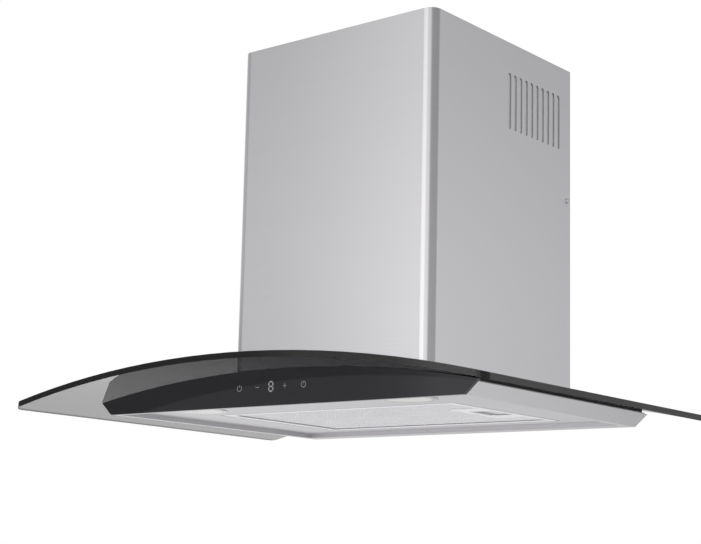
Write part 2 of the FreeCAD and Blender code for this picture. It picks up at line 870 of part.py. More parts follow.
def make_lamp(side, sign):
    x = sign * v.lamp_side
    spot = (x, -v.lamp_front)
    face = v.pan_recess - v.lamp_lip
    sleeve = v.lamp_hole - v.lamp_gap
    lens_top = face + v.lamp_lens_thick
    sleeve_top = pan_top + v.lamp_tall / 3
    ring = fuse(rod("Z", v.lamp_radius, face, v.pan_recess, spot),
                rod("Z", sleeve, v.pan_recess, sleeve_top, spot))
    bore = fuse(rod("Z", v.lamp_lens_radius, face - MARGIN, sleeve_top + MARGIN, spot),
                rod("Z", v.lamp_lens_radius + v.lamp_wall, lens_top - v.lamp_lip,
                    sleeve_top + MARGIN, spot))
    finish(cut(ring, bore), "lamp_bezel_" + side)

    lens = fuse(rod("Z", v.lamp_lens_radius, face, lens_top - v.lamp_lip, spot),
                rod("Z", v.lamp_lens_radius + v.lamp_wall, lens_top - v.lamp_lip, lens_top, spot))
    finish(lens, "lamp_lens_" + side)

    # a shallow can over the sleeve, resting on the pan
    can_top = pan_top + v.lamp_tall
    can = rod("Z", v.lamp_radius, pan_top, can_top, spot)
    space = rod("Z", sleeve, pan_top - MARGIN, can_top - v.lamp_wall, spot)
    finish(cut(can, space), "lamp_housing_" + side)

    board = new_body("lamp_board")
    board_high = can_top - v.lamp_wall
    pad(board, "XY", board_high - v.board_thick, board_high,
        circles=[(x, -v.lamp_front, v.lamp_lens_radius)])
    pitch = v.lamp_lens_radius / 2
    half = v.lamp_wall
    chips = []
    for row_step in (-1, 0, 1):
        for column_step in (-1, 0, 1):
            chip_x = x + column_step * pitch
            chip_y = row_step * pitch - v.lamp_front
            chips.append(rectangle((chip_x - half, chip_x + half), (chip_y - half, chip_y + half)))
    pad(board, "XY", board_high - 2 * v.board_thick, board_high - v.board_thick, chips)
    finish(board, "lamp_board_" + side)


# ---- blower box and wall bracket -------------------------------------------------------

fan_y = -v.fan_back
fan_z = v.fan_height
box_back = v.body_back
box_roof = v.box_top - v.box_sheet
throat_front = fan_y - v.volute_start - 7 * v.volute_step
throat_back = throat_front + v.throat_wide
throat_half = v.volute_inner_half
spigot_y = (throat_front + throat_back) / 2
flange_half = throat_half + v.outlet_flange
flange_front = throat_front - v.outlet_flange
flange_back = throat_back + v.outlet_flange


def outlet_screw_spots():
    inset = v.outlet_flange / 2
    return [(sign * (throat_half + inset), y) for sign in (-1, 1)
            for y in (throat_front - inset, throat_back + inset)]


def box_screw_spots():
    lip_middle = v.bracket_lip / 2
    return [(sign * v.box_screw_side, z) for sign in (-1, 1)
            for z in (v.bracket_low + lip_middle, v.bracket_high - lip_middle)]


def make_blower_box():
    through = v.small_screw + v.hole_play
    inner = v.box_half - v.box_sheet
    outer_block = box((-v.box_half, v.box_half), (-v.box_front, -box_back),
                      (plan_low, v.box_top))
    inner_block = box((-inner, inner), (v.box_sheet - v.box_front, -box_back - v.box_sheet),
                      (plan_low - MARGIN, box_roof))
    flange_plan = prism("XY", plan_low, plan_high, [horseshoe(
        v.box_half - v.box_sheet / 2, v.box_front - v.box_sheet / 2,
        v.box_half + v.box_flange, v.box_front + v.box_flange, box_back)])
    flange = arched_plate(flange_plan, panel_top, flange_top)
    outlet = box((-throat_half, throat_half), (throat_front, throat_back),
                 (box_roof - MARGIN, v.box_top + MARGIN))
    holes = clamp_holes(through, panel_under, glass_under)
    holes += [rod("Z", through, box_roof - v.sheet, v.box_top + v.sheet, spot)
              for spot in outlet_screw_spots()]
    holes += [rod("Y", through, -box_back - 2 * v.box_sheet, v.box_sheet - box_back, spot)
              for spot in box_screw_spots()]
    walls = cut(cut(outer_block, inner_block), arch_drum(panel_top))
    finish(cut(fuse(walls, flange), outlet, *holes), "blower_box")


def make_wall_bracket():
    thick = v.bracket_sheet
    low, high = v.bracket_low, v.bracket_high
    lip = v.bracket_lip
    body = new_body("wall_bracket")
    pad(body, "YZ", -v.bracket_half, v.bracket_half, [[
        (0, low), (0, high), (-box_back, high), (-box_back, high - lip),
        (thick - box_back, high - lip), (thick - box_back, high - thick),
        (-thick, high - thick), (-thick, low + thick), (thick - box_back, low + thick),
        (thick - box_back, low + lip), (-box_back, low + lip), (-box_back, low)]])
    wide = v.wall_screw_wide / 2
    tall = v.wall_screw_tall / 2
    pocket(body, "XZ", -thick, term(0), circles=[
        (x, v.hang_height + z, v.wall_screw_radius) for x in (-wide, wide) for z in (-tall, tall)])
    pocket(body, "XZ", -box_back, thick - box_back, circles=[
        (x, z, v.small_screw) for x, z in box_screw_spots()])
    finish(body, "wall_bracket")
    screws = [screw("Y", -box_back - v.box_sheet, 2 * thick - box_back, spot)
              for spot in box_screw_spots()]
    finish(group(screws), "box_screws")


# ---- volute, wheel and motor -----------------------------------------------------------

def volute_outline(grow, top):
    """Four-centre scroll in Y and Z, grown outwards by a wall, opening upwards at top."""
    step = v.volute_step
    first = v.volute_start + grow
    throat = throat_back + grow
    reach = throat - (fan_y + step)
    tip = fan_z + step + root(first * first - reach * reach)
    return [
        (throat_front - grow, top),
        (throat_front - grow, fan_z + step, "left", first + 6 * step),
        (fan_y - step, fan_z - step - first - 4 * step, "left", first + 4 * step),
        (fan_y + 3 * step + first, fan_z - step, "left", first + 2 * step),
        (fan_y + step, fan_z + step + first, "left", first),
        (throat, tip),
        (throat, top),
    ]


def lug_spots():
    """Centres of the four screw lugs that hold the volute halves together."""
    step = v.volute_step
    slant = math.sqrt(0.5)
    first = v.volute_start + v.volute_wall + v.lug_reach
    return [
        (fan_y + step + slant * (first + 2 * step), fan_z - step + slant * (first + 2 * step)),
        (fan_y - step + slant * (first + 4 * step), fan_z - step - slant * (first + 4 * step)),
        (fan_y - step - slant * (first + 6 * step), fan_z + step - slant * (first + 6 * step)),
        (throat_back + v.volute_wall + v.lug_reach, box_roof - 3 * v.lug_radius),
    ]


def spider_spots(radius):
    """Three points round the fan's axis, in Y and Z."""
    rise = math.sqrt(0.75)
    return [(fan_y + radius, fan_z), (fan_y - radius / 2, fan_z + rise * radius),
            (fan_y - radius / 2, fan_z - rise * radius)]


def make_volute(side, sign):
    half = v.volute_inner_half
    outer = half + v.volute_wall

    def span(near, far):
        return (near, far) if sign > 0 else (-term(far), -term(near))

    body = new_body("scroll_half_" + side)
    pad(body, "YZ", *span(0, outer), outlines=[volute_outline(v.volute_wall, box_roof)])
    pad(body, "YZ", *span(0, v.lug_half), circles=[(y, z, v.lug_radius) for y, z in lug_spots()])
    flange_low = box_roof - v.volute_wall
    pad(body, "XY", flange_low, box_roof, [rectangle(
        span(0, flange_half), (flange_front, flange_back))])
    pad(body, "YZ", *span(outer, outer + v.inlet_lip_tall),
        circles=[(fan_y, fan_z, v.inlet_radius + v.inlet_lip)])
    pocket(body, "YZ", *span(0, half), outlines=[volute_outline(term(0), box_roof + v.sheet)])
    pocket(body, "YZ", *span(half - v.sheet, outer + v.inlet_lip_tall + v.sheet),
           circles=[(fan_y, fan_z, v.inlet_radius)])
    pocket(body, "YZ", *span(0, v.lug_half + v.sheet),
           circles=[(y, z, v.small_screw) for y, z in lug_spots()])
    pocket(body, "XY", flange_low - v.sheet, box_roof + v.sheet, circles=[
        (x, y, v.small_screw) for x, y in outlet_screw_spots() if x.value * sign > 0])
    if sign > 0:
        pocket(body, "YZ", half - v.sheet, outer + v.sheet, circles=[
            (y, z, v.small_screw) for y, z in spider_spots(v.spider_reach)])
    finish(body, "scroll_half_" + side)


def make_scroll_screws():
    screws = [screw("X", -v.lug_half, v.lug_half, spot) for spot in lug_spots()]
    finish(group(screws), "scroll_screws")


def blade_face(angle, inner, outer):
    """One forward-curved blade's section in the YZ plane, its tip leading the rotation."""
    thick = v.blade_thick.value
    tip_angle = angle - math.radians(v.blade_lead.value)

    def spot(radius, turn):
        return FreeCAD.Vector(0, radius * math.cos(turn), radius * math.sin(turn))

    def wire_points(shift):
        start = spot(inner, angle + shift / inner)
        end = spot(outer, tip_angle + shift / outer)
        along = (end - start).normalize()
        across = FreeCAD.Vector(0, -along.z, along.y)
        return start, (start + end) * 0.5 + across * v.blade_bow.value, end

    front = wire_points(0.0)
    back = wire_points(thick)
    edges = [Part.Arc(*front).toShape(), Part.LineSegment(front[2], back[2]).toShape(),
             Part.Arc(*back[::-1]).toShape(), Part.LineSegment(back[0], front[0]).toShape()]
    return Part.Face(Part.Wire(edges))


def make_wheel():
    """Double-inlet squirrel-cage wheel: blades, a middle plate with a hub and two end rings."""
    outer = v.wheel_radius.value
    inner = outer - v.blade_deep.value
    half = v.wheel_half.value
    ring = v.wheel_ring.value
    plate = v.wheel_plate.value
    axis = FreeCAD.Vector(1, 0, 0)
    count = int(v.blade_count.value)

    def bar(radius, start, end):
        return Part.makeCylinder(radius, end - start, FreeCAD.Vector(start, 0, 0), axis)

    blades = []
    for index in range(count):
        face = blade_face(2 * math.pi * index / count, inner, outer - ring / 3)
        face.translate(FreeCAD.Vector(-half, 0, 0))
        blades.append(face.extrude(FreeCAD.Vector(2 * half, 0, 0)))
    rings = []
    for start in (-half, half - ring):
        bore = bar(outer - ring, start - ring, start + 2 * ring)
        rings.append(bar(outer, start, start + ring).cut(bore))
    hub_start = plate / 2 - v.hub_long.value
    core = bar(inner + ring, -plate / 2, plate / 2).fuse(bar(v.hub_radius.value, hub_start, plate))
    wheel = core.multiFuse(blades + rings)
    wheel = wheel.cut(bar(v.shaft_radius.value, -2 * half, 2 * half))
    item = doc.addObject("Part::Feature", "impeller")
    item.Shape = wheel
    finish(item, "impeller", fan_y, fan_z)


def make_motor():
    spot = (fan_y, fan_z)
    start, end = v.motor_start, v.motor_end
    bell = v.bell_thick
    bore = v.rotor_radius + v.air_gap
    body = new_body("motor_body")
    pad(body, "YZ", start, end - bell, circles=[(fan_y, fan_z, v.motor_radius)])
    pocket(body, "YZ", start + bell, end - bell + v.sheet, circles=[(fan_y, fan_z, bore)])
    pocket(body, "YZ", start - v.sheet, start + bell + v.sheet, circles=[(fan_y, fan_z, v.bush_radius)])
    finish(body, "motor_body")

    cover = new_body("motor_end_bell")
    pad(cover, "YZ", end - bell, end, circles=[(fan_y, fan_z, v.motor_radius)])
    pocket(cover, "YZ", end - bell - v.sheet, end + v.sheet, circles=[(fan_y, fan_z, v.bush_radius)])
    finish(cover, "motor_end_bell")

    bush_bore = v.shaft_radius + v.bush_play
    bushes = []
    for low in (start, end - v.bush_long):
        bushes.append(cut(rod("X", v.bush_radius, low, low + v.bush_long, spot),
                          rod("X", bush_bore, low - v.sheet, low + v.bush_long + v.sheet, spot)))
    finish(group(bushes), "motor_bushes")

    shaft_start = v.wheel_plate / 2 - v.hub_long
    shaft = new_body("motor_shaft")
    pad(shaft, "YZ", shaft_start, end + v.spider_thick,
        circles=[(fan_y, fan_z, v.shaft_radius)])
    finish(shaft, "motor_shaft")

    middle = (start + end) / 2
    rotor = cut(rod("X", v.rotor_radius, middle - v.rotor_long / 2, middle + v.rotor_long / 2,
                    spot),
                rod("X", v.shaft_radius, start, end, spot))
    finish(rotor, "motor_rotor")


def make_spider():
    """Three-armed mount outside the motor, held to the volute's side on rubber grommets."""
    low = v.motor_end
    high = low + v.spider_thick
    face = v.volute_inner_half + v.volute_wall
    half_arm = v.spider_arm / 2
    end = v.spider_reach
    through = v.small_screw + v.hole_play
    spots = spider_spots(v.spider_reach)
    parts = [rod("X", v.spider_boss, low, high, (fan_y, fan_z))]
    for index, spot in enumerate(spots):
        turn = math.radians(120 * index)
        arm = doc.addObject("Part::Box", "arm")
        arm.Placement = FreeCAD.Placement(
            ORIGIN, FreeCAD.Rotation(FreeCAD.Vector(1, 0, 0), math.degrees(turn)))
        bind(arm, "Length", v.spider_thick)
        bind(arm, "Width", end)
        bind(arm, "Height", v.spider_arm)
        place(arm, low, fan_y + half_arm * math.sin(turn), fan_z - half_arm * math.cos(turn))
        parts.append(arm)
        parts.append(rod("X", half_arm, low, high, spot))
    holes = [rod("X", through, low - v.sheet, high + v.sheet, spot) for spot in spots]
    centre = rod("X", v.bush_radius, low - v.sheet, high + v.sheet, (fan_y, fan_z))
    finish(cut(fuse(*parts), centre, *holes), "motor_spider")

    grommets = []
    for spot in spots:
        tube = rod("X", v.grommet_radius, face, low, spot)
        grommets.append(cut(tube, rod("X", through, face - v.sheet, low + v.sheet, spot)))
    finish(group(grommets), "motor_grommets")
    screws = [screw("X", high, v.volute_inner_half, spot) for spot in spots]
    finish(group(screws), "motor_screws")


# ---- outlet collar and damper ----------------------------------------------------------

plate_top = v.box_top + v.collar_plate
spigot_low = plate_top + v.collar_taper
spigot_top = spigot_low + v.spigot_tall
spigot_inner = v.spigot_radius - v.collar_wall
damper_z = spigot_low + v.damper_up
flap_radius = spigot_inner - v.flap_gap


def transition(grow, radius):
    """Rectangle-to-round form over the blower's throat: a tapered block trimmed by a cone."""
    half_wide = throat_half + grow
    half_deep = v.throat_wide / 2 + grow
    half_end = radius + v.sheet
    block = doc.addObject("Part::Wedge", "tapered_block")
    block.Placement = FreeCAD.Placement(ORIGIN, FreeCAD.Rotation(FreeCAD.Vector(1, 0, 0), 90))
    for path, goal in (("Xmin", -half_wide), ("Xmax", half_wide), ("Zmin", -half_deep),
                       ("Zmax", half_deep), ("X2min", -half_end), ("X2max", half_end),
                       ("Z2min", -half_end), ("Z2max", half_end),
                       ("Ymin", term(0)), ("Ymax", v.collar_taper)):
        bind(block, path, goal)
    place(block, term(0), spigot_y, plate_top)
    cone = doc.addObject("Part::Cone", "corner_cone")
    bind(cone, "Radius1", root(half_wide * half_wide + half_deep * half_deep))
    bind(cone, "Radius2", radius)
    bind(cone, "Height", v.collar_taper)
    place(cone, term(0), spigot_y, plate_top)
    return common(block, cone)


def make_outlet():
    spot = (term(0), spigot_y)
    plate = box((-flange_half, flange_half), (flange_front, flange_back), (v.box_top, plate_top))
    outer = fuse(plate, transition(v.collar_wall, v.spigot_radius),
                 rod("Z", v.spigot_radius, spigot_low, spigot_top, spot))
    mouth = box((-throat_half, throat_half), (throat_front, throat_back),
                (v.box_top - v.sheet, plate_top))
    holes = [rod("Z", v.small_screw + v.hole_play, v.box_top - v.sheet, plate_top + v.sheet, seat)
             for seat in outlet_screw_spots()]
    pin_hole = rod("X", v.damper_pin_radius, -v.spigot_radius - v.sheet, v.spigot_radius + v.sheet,
                   (spigot_y, damper_z))
    inner = fuse(mouth, transition(term(0), spigot_inner),
                 rod("Z", spigot_inner, spigot_low, spigot_top + v.sheet, spot))
    finish(cut(outer, inner, pin_hole, *holes), "outlet_adapter")
    screws = [screw("Z", plate_top, box_roof - v.volute_wall, seat)
              for seat in outlet_screw_spots()]
    finish(group(screws), "outlet_screws")


def make_damper():
    pin = new_body("damper_pin")
    pad(pin, "YZ", -v.spigot_radius, v.spigot_radius,
        circles=[(spigot_y, damper_z, v.damper_pin_radius)])
    finish(pin, "damper_pin")

    hinge = flap_radius - v.hinge_inset
    clear = v.knuckle_radius + v.flap_gap / 2
    low = damper_z - v.flap_thick / 2
    high = damper_z + v.flap_thick / 2
    bore_radius = v.damper_pin_radius + v.damper_play
    for name, sign, starts in (("front", -1, (-1.0, 0.0)), ("back", 1, (-0.5, 0.5))):
        disc = rod("Z", flap_radius, low, high, (term(0), spigot_y))
        near, far = sign * clear, sign * (flap_radius + v.sheet)
        span = (near, far) if sign > 0 else (far, near)
        side = box((-flap_radius - v.sheet, flap_radius + v.sheet),
                   (spigot_y + span[0], spigot_y + span[1]), (low - v.sheet, high + v.sheet))
        parts = [common(disc, side)]
        inside, outside = sign * v.damper_pin_radius, sign * (clear + v.flap_thick)
        web = (inside, outside) if sign > 0 else (outside, inside)
        for start in starts:
            left = start * hinge + v.knuckle_gap
            right = (start + 0.5) * hinge - v.knuckle_gap
            parts.append(rod("X", v.knuckle_radius, left, right, (spigot_y, damper_z)))
            parts.append(box((left, right), (spigot_y + web[0], spigot_y + web[1]), (low, high)))
        bore = rod("X", bore_radius, -flap_radius - v.sheet, flap_radius + v.sheet, (spigot_y, damper_z))
        finish(cut(fuse(*parts), bore), "damper_flap_" + name)


# ---- chimney ---------------------------------------------------------------------------

extension_half = v.chimney_half - v.chimney_sheet - v.slide_gap
extension_front = v.chimney_front - v.chimney_sheet - v.slide_gap
extension_bend = v.chimney_bend - v.chimney_sheet - v.slide_gap
extension_top = v.chimney_top - v.extension_drop
strap_z = v.chimney_bracket_low + v.bracket_tall / 2


def bent_cover(half, front, bend, back):
    """Plan of a three-sided sheet cover with round vertical bends, open to the wall."""
    sheet_thick = v.chimney_sheet
    inner = half - sheet_thick
    return [
        (-half, -back), (-half, bend - front, "left", bend), (bend - half, -front),
        (half - bend, -front, "left", bend), (half, bend - front), (half, -back),
        (inner, -back), (inner, bend - front, "right", bend - sheet_thick),
        (half - bend, sheet_thick - front),
        (bend - half, sheet_thick - front, "right", bend - sheet_thick),
        (-inner, bend - front), (-inner, -back)]


def slot_outline():
    """The vent slot furthest from the wall, in Y and Z."""
    end = v.slot_wide / 2
    y = -v.slot_first_back - (v.slot_count - 1) * v.slot_pitch
    low = v.slot_low
    high = v.slot_high
    return [(y, low, "left", end), (y + end, low + end), (y + end, high - end, "left", end),
            (y, high, "left", end), (y - end, high - end), (y - end, low + end, "left", end)]


def make_chimney_cover():
    cover = new_body("cover_sheet")
    pad(cover, "XY", term(0), v.chimney_top, [bent_cover(
        v.chimney_half, v.chimney_front, v.chimney_bend, term(0))])
    slot = pocket(cover, "YZ", -v.chimney_half - v.sheet, v.chimney_half + v.sheet, [slot_outline()])
    pattern = cover.newObject("PartDesign::LinearPattern", "vent_slots")
    pattern.Originals = [slot]
    axis = [part for part in cover.Origin.OriginFeatures if part.Role == "Y_Axis"]
    pattern.Direction = (axis[0], [""])
    bind(pattern, "Length", (v.slot_count - 1) * v.slot_pitch)
    bind(pattern, "Occurrences", v.slot_count)
    cover.Tip = pattern
    pocket(cover, "YZ", -v.chimney_half - v.sheet, v.chimney_half + v.sheet,
           circles=[(-v.chimney_screw_back, strap_z, v.small_screw + v.hole_play)])
    inner = v.chimney_half - v.chimney_sheet
    tab_high = v.extension_low - v.tab_gap
    tabs = []
    for left, right in ((-inner - v.chimney_sheet / 2, -extension_half + v.chimney_sheet),
                        (extension_half - v.chimney_sheet, inner + v.chimney_sheet / 2)):
        tabs.append(box((left, right), (-v.chimney_front / 2 - v.stop_tab / 2,
                                        v.stop_tab / 2 - v.chimney_front / 2),
                        (tab_high - v.stop_tab_tall, tab_high)))
    bottom = arch_drum(v.arch_radius + v.chimney_clear)
    finish(fuse(cut(cover, bottom), *tabs), "chimney_cover")


def make_chimney_rest():
    extension = new_body("chimney_extension")
    pad(extension, "XY", v.extension_low, extension_top, [bent_cover(
        extension_half, extension_front, extension_bend, v.extension_back)])
    finish(extension, "chimney_extension")

    def strap(label, half, low, ear):
        thick = v.bracket_sheet
        body = new_body(label)
        pad(body, "XY", low, low + v.bracket_tall, [[
            (-half, -ear), (thick - half, -ear), (thick - half, -thick), (half - thick, -thick),
            (half - thick, -ear), (half, -ear), (half, 0), (-half, 0)]])
        pocket(body, "XZ", -thick, term(0), circles=[
            (sign * v.strap_screw_side, low + v.bracket_tall / 2, v.strap_screw_radius)
            for sign in (-1, 1)])
        return body

    finish(strap("ceiling_bracket", extension_half - v.chimney_sheet,
                 extension_top - v.ceiling_bracket_drop, v.ceiling_ear_long), "ceiling_bracket")
    inner = v.chimney_half - v.chimney_sheet
    lower = strap("chimney_bracket", inner, v.chimney_bracket_low, v.ear_long)
    pocket(lower, "YZ", -inner - v.sheet, inner + v.sheet,
           circles=[(-v.chimney_screw_back, strap_z, v.small_screw)])
    finish(lower, "chimney_bracket")
    tip = inner - 3 * v.bracket_sheet
    spot = (-v.chimney_screw_back, strap_z)
    screws = [screw("X", sign * v.chimney_half, sign * tip, spot) for sign in (-1, 1)]
    finish(group(screws), "chimney_screws")


# ---- terminal box ----------------------------------------------------------------------

def make_terminal_box():
    wall = v.terminal_wall
    low_x = v.box_half
    lid_x = low_x + v.terminal_deep - wall
    front, back = -v.terminal_front, -v.terminal_back
    low, high = v.terminal_low, v.terminal_high
    outer = rectangle((front, back), (low, high))
    inner = rectangle((front + wall, back - wall), (low + wall, high - wall))
    inset = wall + v.post_radius / 2
    posts = [(back - inset, low + inset), (front + inset, high - inset)]
    gland_x = (low_x + lid_x) / 2
    gland_y = (front + back) / 2
    case = new_body("terminal_box")
    pad(case, "YZ", low_x, lid_x, [outer])
    pocket(case, "YZ", low_x + wall, lid_x, [inner])
    pad(case, "YZ", low_x + wall / 2, lid_x, circles=[(y, z, v.post_radius) for y, z in posts])
    pocket(case, "YZ", low_x + wall, lid_x, circles=[(y, z, v.small_screw) for y, z in posts])
    pocket(case, "XY", high - wall - v.sheet, high + v.sheet, circles=[(gland_x, gland_y, v.gland_hole)])
    finish(case, "terminal_box")

    lid = new_body("terminal_box_lid")
    pad(lid, "YZ", lid_x, lid_x + wall, [outer])
    pocket(lid, "YZ", lid_x, lid_x + wall,
           circles=[(y, z, v.small_screw + v.hole_play) for y, z in posts])
    finish(lid, "terminal_box_lid")
    screws = [screw("X", lid_x + wall, low_x + 2 * wall, spot) for spot in posts]
    finish(group(screws), "lid_screws")

    gland = new_body("cable_gland")
    pad(gland, "XY", high, high + v.gland_tall, circles=[(gland_x, gland_y, v.gland_radius)])
    pocket(gland, "XY", high, high + v.gland_tall, circles=[(gland_x, gland_y, v.gland_hole)])
    finish(gland, "cable_gland")

    can = new_body("capacitor")
    centre_x = low_x + wall + v.capacitor_radius
    centre_z = low + wall + v.capacitor_radius
    start = front + 2 * wall
    pad(can, "XZ", start, start + v.capacitor_long,
        circles=[(centre_x, centre_z, v.capacitor_radius)])
    finish(can, "capacitor")


# ---- build, check and write ------------------------------------------------------------

make_glass()
make_glass_clamp()
make_hood_body()
make_top_panel()
make_fascia()
make_controls()
make_filter()
for side, sign in SIDES.items():
    make_lamp(side, sign)
    make_volute(side, sign)
make_blower_box()
make_wall_bracket()
make_scroll_screws()
make_wheel()
make_motor()
make_spider()
make_outlet()
make_damper()
make_chimney_cover()
make_chimney_rest()
make_terminal_box()
doc.recompute()

for item in doc.Objects:
    if "Invalid" in item.State or "Error" in item.State:
        raise RuntimeError("%s (%s) failed: %s" % (item.Name, item.Label, item.State))
for item in finished:
    if item.Shape.isNull() or not item.Shape.isValid() or not item.Shape.Solids:
        raise RuntimeError("%s has no valid solid" % item.Label)

os.makedirs("parts", exist_ok=True)
for item in finished:
    item.Shape.exportStep("parts/%s.step" % item.Label)
    bounds = item.Shape.BoundBox
    print("%-20s solids %2d  volume %10.0f  X %7.1f %7.1f  Y %7.1f %7.1f  Z %7.1f %7.1f" % (
        item.Label, len(item.Shape.Solids), item.Shape.Volume, bounds.XMin, bounds.XMax,
        bounds.YMin, bounds.YMax, bounds.ZMin, bounds.ZMax))
print("%d pieces" % len(finished))
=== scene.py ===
# Looks of an arched-glass wall hood: finishes, fine mesh, key marks, screw heads, studio, camera.
import json
import math

import bmesh
import bpy
from mathutils import Matrix, Vector

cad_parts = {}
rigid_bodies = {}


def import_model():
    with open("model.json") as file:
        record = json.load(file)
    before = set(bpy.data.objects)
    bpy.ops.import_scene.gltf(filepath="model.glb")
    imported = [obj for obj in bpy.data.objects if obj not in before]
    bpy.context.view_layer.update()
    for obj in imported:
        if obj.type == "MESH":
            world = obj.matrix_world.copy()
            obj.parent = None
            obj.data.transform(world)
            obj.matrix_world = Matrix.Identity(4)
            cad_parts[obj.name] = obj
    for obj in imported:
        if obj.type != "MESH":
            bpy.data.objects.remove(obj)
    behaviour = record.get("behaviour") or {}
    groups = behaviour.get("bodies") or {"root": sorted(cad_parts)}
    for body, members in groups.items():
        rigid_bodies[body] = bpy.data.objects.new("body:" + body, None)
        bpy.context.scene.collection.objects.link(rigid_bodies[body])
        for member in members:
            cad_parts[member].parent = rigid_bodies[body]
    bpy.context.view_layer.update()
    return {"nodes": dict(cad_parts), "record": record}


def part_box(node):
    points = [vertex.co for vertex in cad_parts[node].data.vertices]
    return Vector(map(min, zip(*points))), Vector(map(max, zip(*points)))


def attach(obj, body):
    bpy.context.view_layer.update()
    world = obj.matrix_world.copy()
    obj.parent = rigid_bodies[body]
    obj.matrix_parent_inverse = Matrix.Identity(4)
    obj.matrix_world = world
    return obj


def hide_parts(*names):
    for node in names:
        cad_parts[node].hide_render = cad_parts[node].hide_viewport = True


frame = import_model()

nodes = frame["nodes"]
millimetre = 0.001
print("frame loaded:", len(nodes), "nodes")


# node helpers, for finishes, studio and Geometry Nodes alike

def addNode(tree, kind, inputs=None, **settings):
    node = tree.nodes.new(kind)
    for name, value in settings.items():
        setattr(node, name, value)
    for key, value in (inputs or {}).items():
        if isinstance(value, bpy.types.NodeSocket):
            tree.links.new(value, node.inputs[key])
        else:
            node.inputs[key].default_value = value
    return node


def sums(tree, operation, first, second=0.0, clamp=False):
    inputs = {0: first, 1: second}
    return addNode(tree, "ShaderNodeMath", inputs, operation=operation, use_clamp=clamp).outputs[0]


def product(tree, first, second):
    return sums(tree, "MULTIPLY", first, second)


def difference(tree, first, second):
    return sums(tree, "SUBTRACT", first, second)


def blended(tree, first, second, share):
    # this share of the first pattern, and the rest of the second
    return sums(tree, "ADD", product(tree, first, share), product(tree, second, 1 - share))


def switched(tree, share, first, second):
    return addNode(tree, "ShaderNodeMix", {0: share, 2: first, 3: second}).outputs[0]


def ranged(tree, value, low, high, start=0.3, end=0.7):
    inputs = {"Value": value, "From Min": start, "From Max": end, "To Min": low, "To Max": high}
    return addNode(tree, "ShaderNodeMapRange", inputs).outputs[0]


# camera

photoCamera = {
    "place": (1.01652, -1.51397, -0.3025),
    "yaw": 0.7258,       # radians, turned left from looking along +Y
    "pitch": 0.1567,     # radians, looking up
    "roll": 0.0309,
    "lens": 80.54,
    "sensor": 36,
    "shift": (0.12542, 0.06696),
}


def makeCamera(spec):
    yaw, pitch, roll = spec["yaw"], spec["pitch"], spec["roll"]
    forward = Vector((-math.sin(yaw) * math.cos(pitch), math.cos(yaw) * math.cos(pitch), math.sin(pitch)))
    level = Vector((math.cos(yaw), math.sin(yaw), 0))
    upright = level.cross(forward)
    right = math.cos(roll) * level + math.sin(roll) * upright
    up = math.cos(roll) * upright - math.sin(roll) * level
    data = bpy.data.cameras.new("photoCamera")
    data.lens = spec["lens"]
    data.sensor_width = spec["sensor"]
    data.shift_x, data.shift_y = spec["shift"]
    data.clip_start = 0.01
    camera = bpy.data.objects.new("photoCamera", data)
    turned = Matrix((right, up, -forward)).transposed().to_4x4()
    camera.matrix_world = Matrix.Translation(spec["place"]) @ turned
    bpy.context.scene.collection.objects.link(camera)
    bpy.context.scene.camera = camera


makeCamera(photoCamera)
print("camera placed")


# finishes

def newFinish(name, **levels):
    finish = bpy.data.materials.new(name)
    finish.use_nodes = True
    tree = finish.node_tree
    shader = tree.nodes["Principled BSDF"]
    for key, value in levels.items():
        shader.inputs[key.replace("_", " ")].default_value = value
    place = addNode(tree, "ShaderNodeTexCoord").outputs["Object"]
    return finish, tree, shader, place


def stretched(tree, place, scale):
    return addNode(tree, "ShaderNodeMapping", {"Vector": place, "Scale": scale}).outputs[0]


def noise(tree, place, scale, detail=2.0, rough=0.5):
    inputs = {"Vector": place, "Scale": scale, "Detail": detail, "Roughness": rough}
    return addNode(tree, "ShaderNodeTexNoise", inputs).outputs["Fac"]


def tinted(tree, share, dark, light):
    ends = [tone if isinstance(tone, bpy.types.NodeSocket) else (*tone, 1) for tone in (dark, light)]
    inputs = {"Factor": share, 6: ends[0], 7: ends[1]}
    return addNode(tree, "ShaderNodeMix", inputs, data_type="RGBA").outputs[2]


def coloured(tree, shader, share, spec):
    tree.links.new(tinted(tree, share, spec["dark"], spec["light"]), shader.inputs["Base Color"])


def roughened(tree, shader, value, spec, *ends):
    tree.links.new(ranged(tree, value, *spec["rough"], *ends), shader.inputs["Roughness"])


def bumped(tree, shader, height, strength, depth):
    inputs = {"Strength": strength, "Distance": depth, "Height": height}
    tree.links.new(addNode(tree, "ShaderNodeBump", inputs).outputs[0], shader.inputs["Normal"])


chimneySteel = {
    "dark": (0.572, 0.563, 0.581),
    "light": (0.602, 0.593, 0.612),
    "rough": (0.19, 0.24),
    "grain": (3.0, 3.0, 1400.0),    # horizontal brushing
    "cloud": 4.0,
    "bump": 0.012,
    "metal": 1.0,
}
innerSteel = {    # duller than the cover that hides it
    **chimneySteel,
    "dark": (0.545, 0.54, 0.555),
    "light": (0.605, 0.60, 0.615),
    "rough": (0.50, 0.60),
    "metal": 0.35,
}
bodySteel = {
    "dark": (0.572, 0.562, 0.580),
    "light": (0.607, 0.597, 0.615),
    "rough": (0.34, 0.42),
    "grain": (3.0, 1400.0, 1400.0),        # along the body's width
    "sideGrain": (1400.0, 3.0, 1400.0),    # along the depth, on the bevelled sides
    "cloud": 5.0,
    "bump": 0.012,
    "metal": 1.0,
}


def brushing(tree, place, grain):
    return noise(tree, stretched(tree, place, grain), scale=1.0, detail=3.0, rough=0.65)


